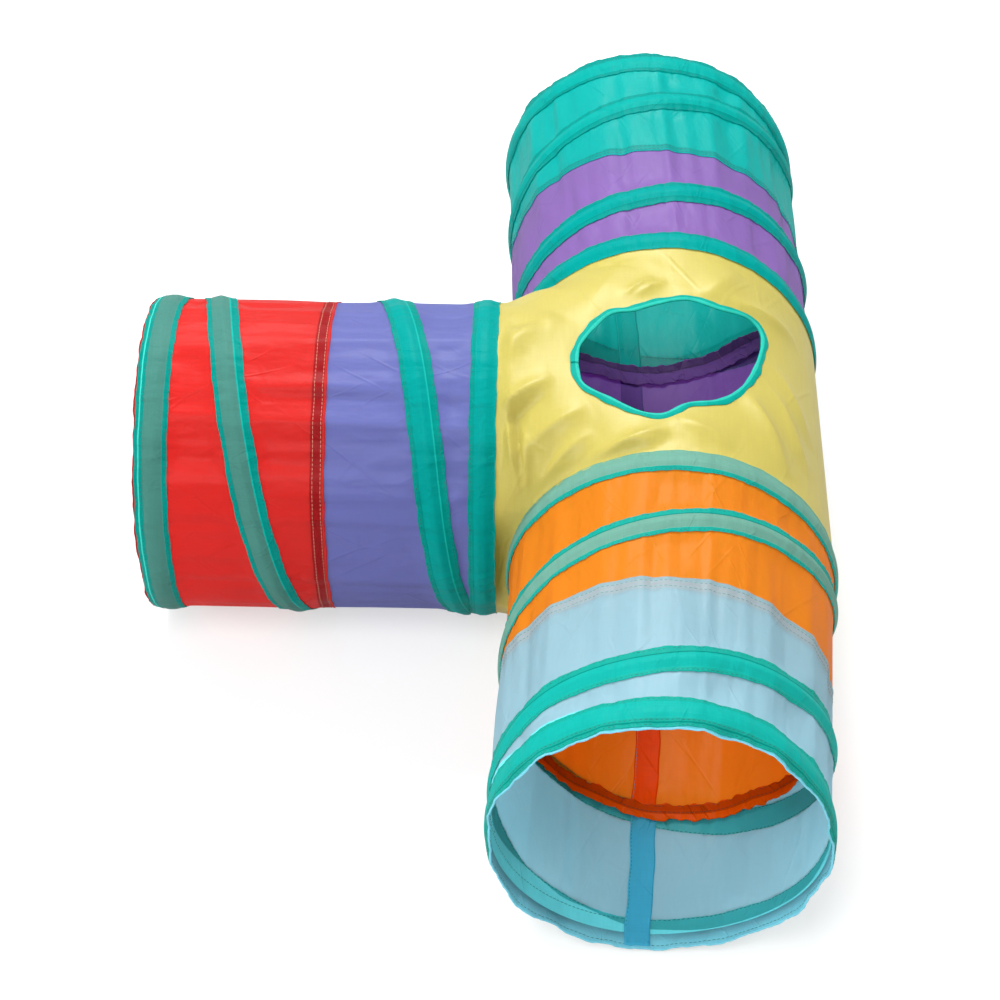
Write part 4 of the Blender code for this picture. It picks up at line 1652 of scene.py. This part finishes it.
def add_folds(shape):
    """Raise the folds. The hoops and the tape of the opening hold the cloth flatter."""
    shape.normal_update()
    points = np.array([vertex.co[:] for vertex in shape.verts])
    free = smooth_step(inner_edge - np.abs(points[:, 1]), 0, held_strip)
    free *= smooth_step(points[:, 0] + left_edge, 0, held_strip)
    free *= smooth_step(points[:, 2], 0, steep_part * cloth_radius)
    gaps = np.array([past_outline(point[:2])[0] for point in points])
    free *= edge_hold + (1 - edge_hold) * smooth_step(np.abs(gaps), 0, held_edge)
    heights = fold_heights(points[:, :2], (*tension_folds, *make_pleats())) * free
    for vertex, height in zip(shape.verts, heights):
        vertex.co += vertex.normal * height


def cut_opening(shape):
    """Cut the opening: move points close to its outline onto it, then drop those inside."""
    inside = []
    for vertex in shape.verts:
        if vertex.co.z < 0:
            continue
        gap, nearest = past_outline(vertex.co.xy)
        if abs(gap) < snap_reach and np.abs(np.array(vertex.co.xy) - nearest).max() < snap_reach:
            vertex.co.xy = nearest
        elif gap < 0:
            inside.append(vertex)
    bmesh.ops.delete(shape, geom=inside, context="VERTS")


add_folds(junction)
cloth_tree = BVHTree.FromBMesh(junction)
cut_opening(junction)
print("junction cloth:", len(junction.verts), "points after it")

# %% Junction cloth as a piece
yellow = cloth_finish("yellow cloth", (191, 180, 92), through=(214, 204, 108), size=14.0,
                      dents=5.0, creases=0.3, glow=0.42, shine=0.36, cut_to_shape=True)


def settled_mesh(shape, name):
    """A mesh moved from the crossing's own frame to its place in the tunnel."""
    mesh = bpy.data.meshes.new(name)
    shape.to_mesh(mesh)
    points = np.empty(len(mesh.vertices) * 3)
    mesh.vertices.foreach_get("co", points)
    placed = settle(points.reshape(-1, 3) + crossing)
    mesh.vertices.foreach_set("co", placed.ravel())
    mesh.update()
    return mesh


junction_cloth = add_piece("junction_cloth", settled_mesh(junction, "junction_cloth"), yellow,
                           junction_thickness)
stand_in(junction_cloth, "junction_body")
print("junction cloth placed")

# %% [markdown]
# ## Tape round the peephole
# The edge of the opening is bound with a narrow tape folded over it. The tape is one strip
# swept round the outline, with a fold at the cloth's edge and its two ends lapped at the left.

# %% Binding
binding_rows = 240
binding_overlap = 7
binding_rise = 0.8 * mm
binding_section = ((-4.4, 0.4), (-4.1, 0.65), (-2.6, 0.8), (-1.0, 1.0), (0.3, 1.0), (1.0, 0.6),
                   (1.25, 0.0), (1.0, -0.7), (0.3, -1.1), (-1.2, -1.1), (-3.2, -0.9),
                   (-4.0, -0.8))
binding_waves = ((0.16, 9, 0), (0.10, 23, 1))
binding_hems = (3.7 * mm, 6.0 * mm)
binding_row = (-3.4 * mm, 0.75 * mm)
# The middle, lighter than the hems, lies along the top of the fold at the cloth's edge.
binding_colours = {"hem": (10, 178, 164), "middle": (56, 204, 188), "thread": (8, 140, 130)}
point_calming = 1
normal_calming = 4
high_above = 1.0


def edge_on_cloth(place):
    """The cloth's point below a place seen from above, and its outward direction there."""
    point, normal, *_ = cloth_tree.ray_cast(Vector((*place, high_above)), Vector((0, 0, -1)))
    return point, normal if normal.z > 0 else -normal


def smooth_round(values, reach):
    """A running mean along a line of vectors, to calm small steps of the surface."""
    padded = np.concatenate((values[-reach:], values, values[:reach]))
    window = np.ones(2 * reach + 1) / (2 * reach + 1)
    return np.stack([np.convolve(padded[:, part], window, "valid") for part in range(3)], -1)


def binding_frames():
    """Points, inward and outward directions round the opening."""
    places, _ = closed_curve(peephole_outline, binding_rows)
    found = [edge_on_cloth(place) for place in places]
    points = smooth_round(np.array([point for point, _ in found]), point_calming)
    normals = unit(smooth_round(np.array([normal for _, normal in found]), normal_calming))
    ahead = unit(np.roll(points, -1, axis=0) - np.roll(points, 1, axis=0))
    inward = unit(np.cross(normals, ahead))
    return points, inward, np.cross(ahead, inward)


def lapped(values):
    """Carry a closed line on past its start, so that the tape's ends overlap."""
    return np.concatenate((values, values[:binding_overlap]))


def make_binding():
    """The folded tape and its stitches."""
    points, inward, normals = (lapped(values) for values in binding_frames())
    section = np.array(binding_section) * mm
    turned = np.arange(len(points)) * math.tau / binding_rows
    wave = 1 + sum(size * np.sin(count * turned + phase) for size, count, phase in binding_waves)
    lap = np.zeros(len(points))
    lap[-2 * binding_overlap:] = np.linspace(0, binding_rise, 2 * binding_overlap)
    grid = (points[:, None] + inward[:, None] * (section[:, 0] * wave[:, None])[..., None]
            + normals[:, None] * (section[:, 1] + lap[:, None])[..., None])
    place = np.stack(np.meshgrid(reached_along(points), reached_along(section), indexing="ij"), -1)
    finish = tape_finish("peephole tape", binding_colours["hem"],
                         2 * (binding_colours["middle"],), binding_hems)
    tape = add_sheet("peephole_tape", settle(grid + crossing), {"cut": place, "beside": place},
                     finish, tape_thickness)
    line = points + inward * (binding_row[0] * wave)[:, None] + normals * binding_row[1]
    thread = thread_finish("peephole thread", binding_colours["thread"])
    rows = stitches("peephole_stitches", [(settle(line + crossing), normals)], thread)
    return stand_in(tape, "peephole_binding"), rows


peephole_tape, peephole_stitches = make_binding()
print("peephole tape:", len(peephole_tape.data.vertices), "points")

# %% [markdown]
# ## What each piece moves with
# An arm is pushed flat along its own axis. The mouth pieces ride on the mouth, the seam
# allowance rides on the seam's own body, and what lies between is attached to the junction
# with a mesh of its own. The seam's body goes half as far as the mouth, and the allowance goes
# with it.

# %% Riding


def flatten(piece, body="junction"):
    """Attach a piece to a body and give it a mesh of its own."""
    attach(piece, body)
    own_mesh(piece)


for name, arm in arms.items():
    for kind in ("junction_tape", "junction_sleeve", "junction_stitches"):
        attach(arm[kind], "junction")
    for kind in ("mouth_tape", "mouth_sleeve", "mouth_stitches", "hem"):
        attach(arm[kind], name + "_mouth")
    for kind in ("allowance", "allowance_stitches"):
        flatten(arm[kind], name + "_band")
    for piece in arm["squashed"]:
        flatten(piece)
for piece in (junction_cloth, peephole_tape, peephole_stitches):
    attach(piece, "junction")

# %% [markdown]
# ## The cut sizes of the cloth
# Each panel is a rectangle: once round the hoop plus the lap of its side seam, and as long as
# its part of the arm plus what the seams and the hem take up. The loop below doesn't work these
# sizes out.

for name, arm in arms.items():
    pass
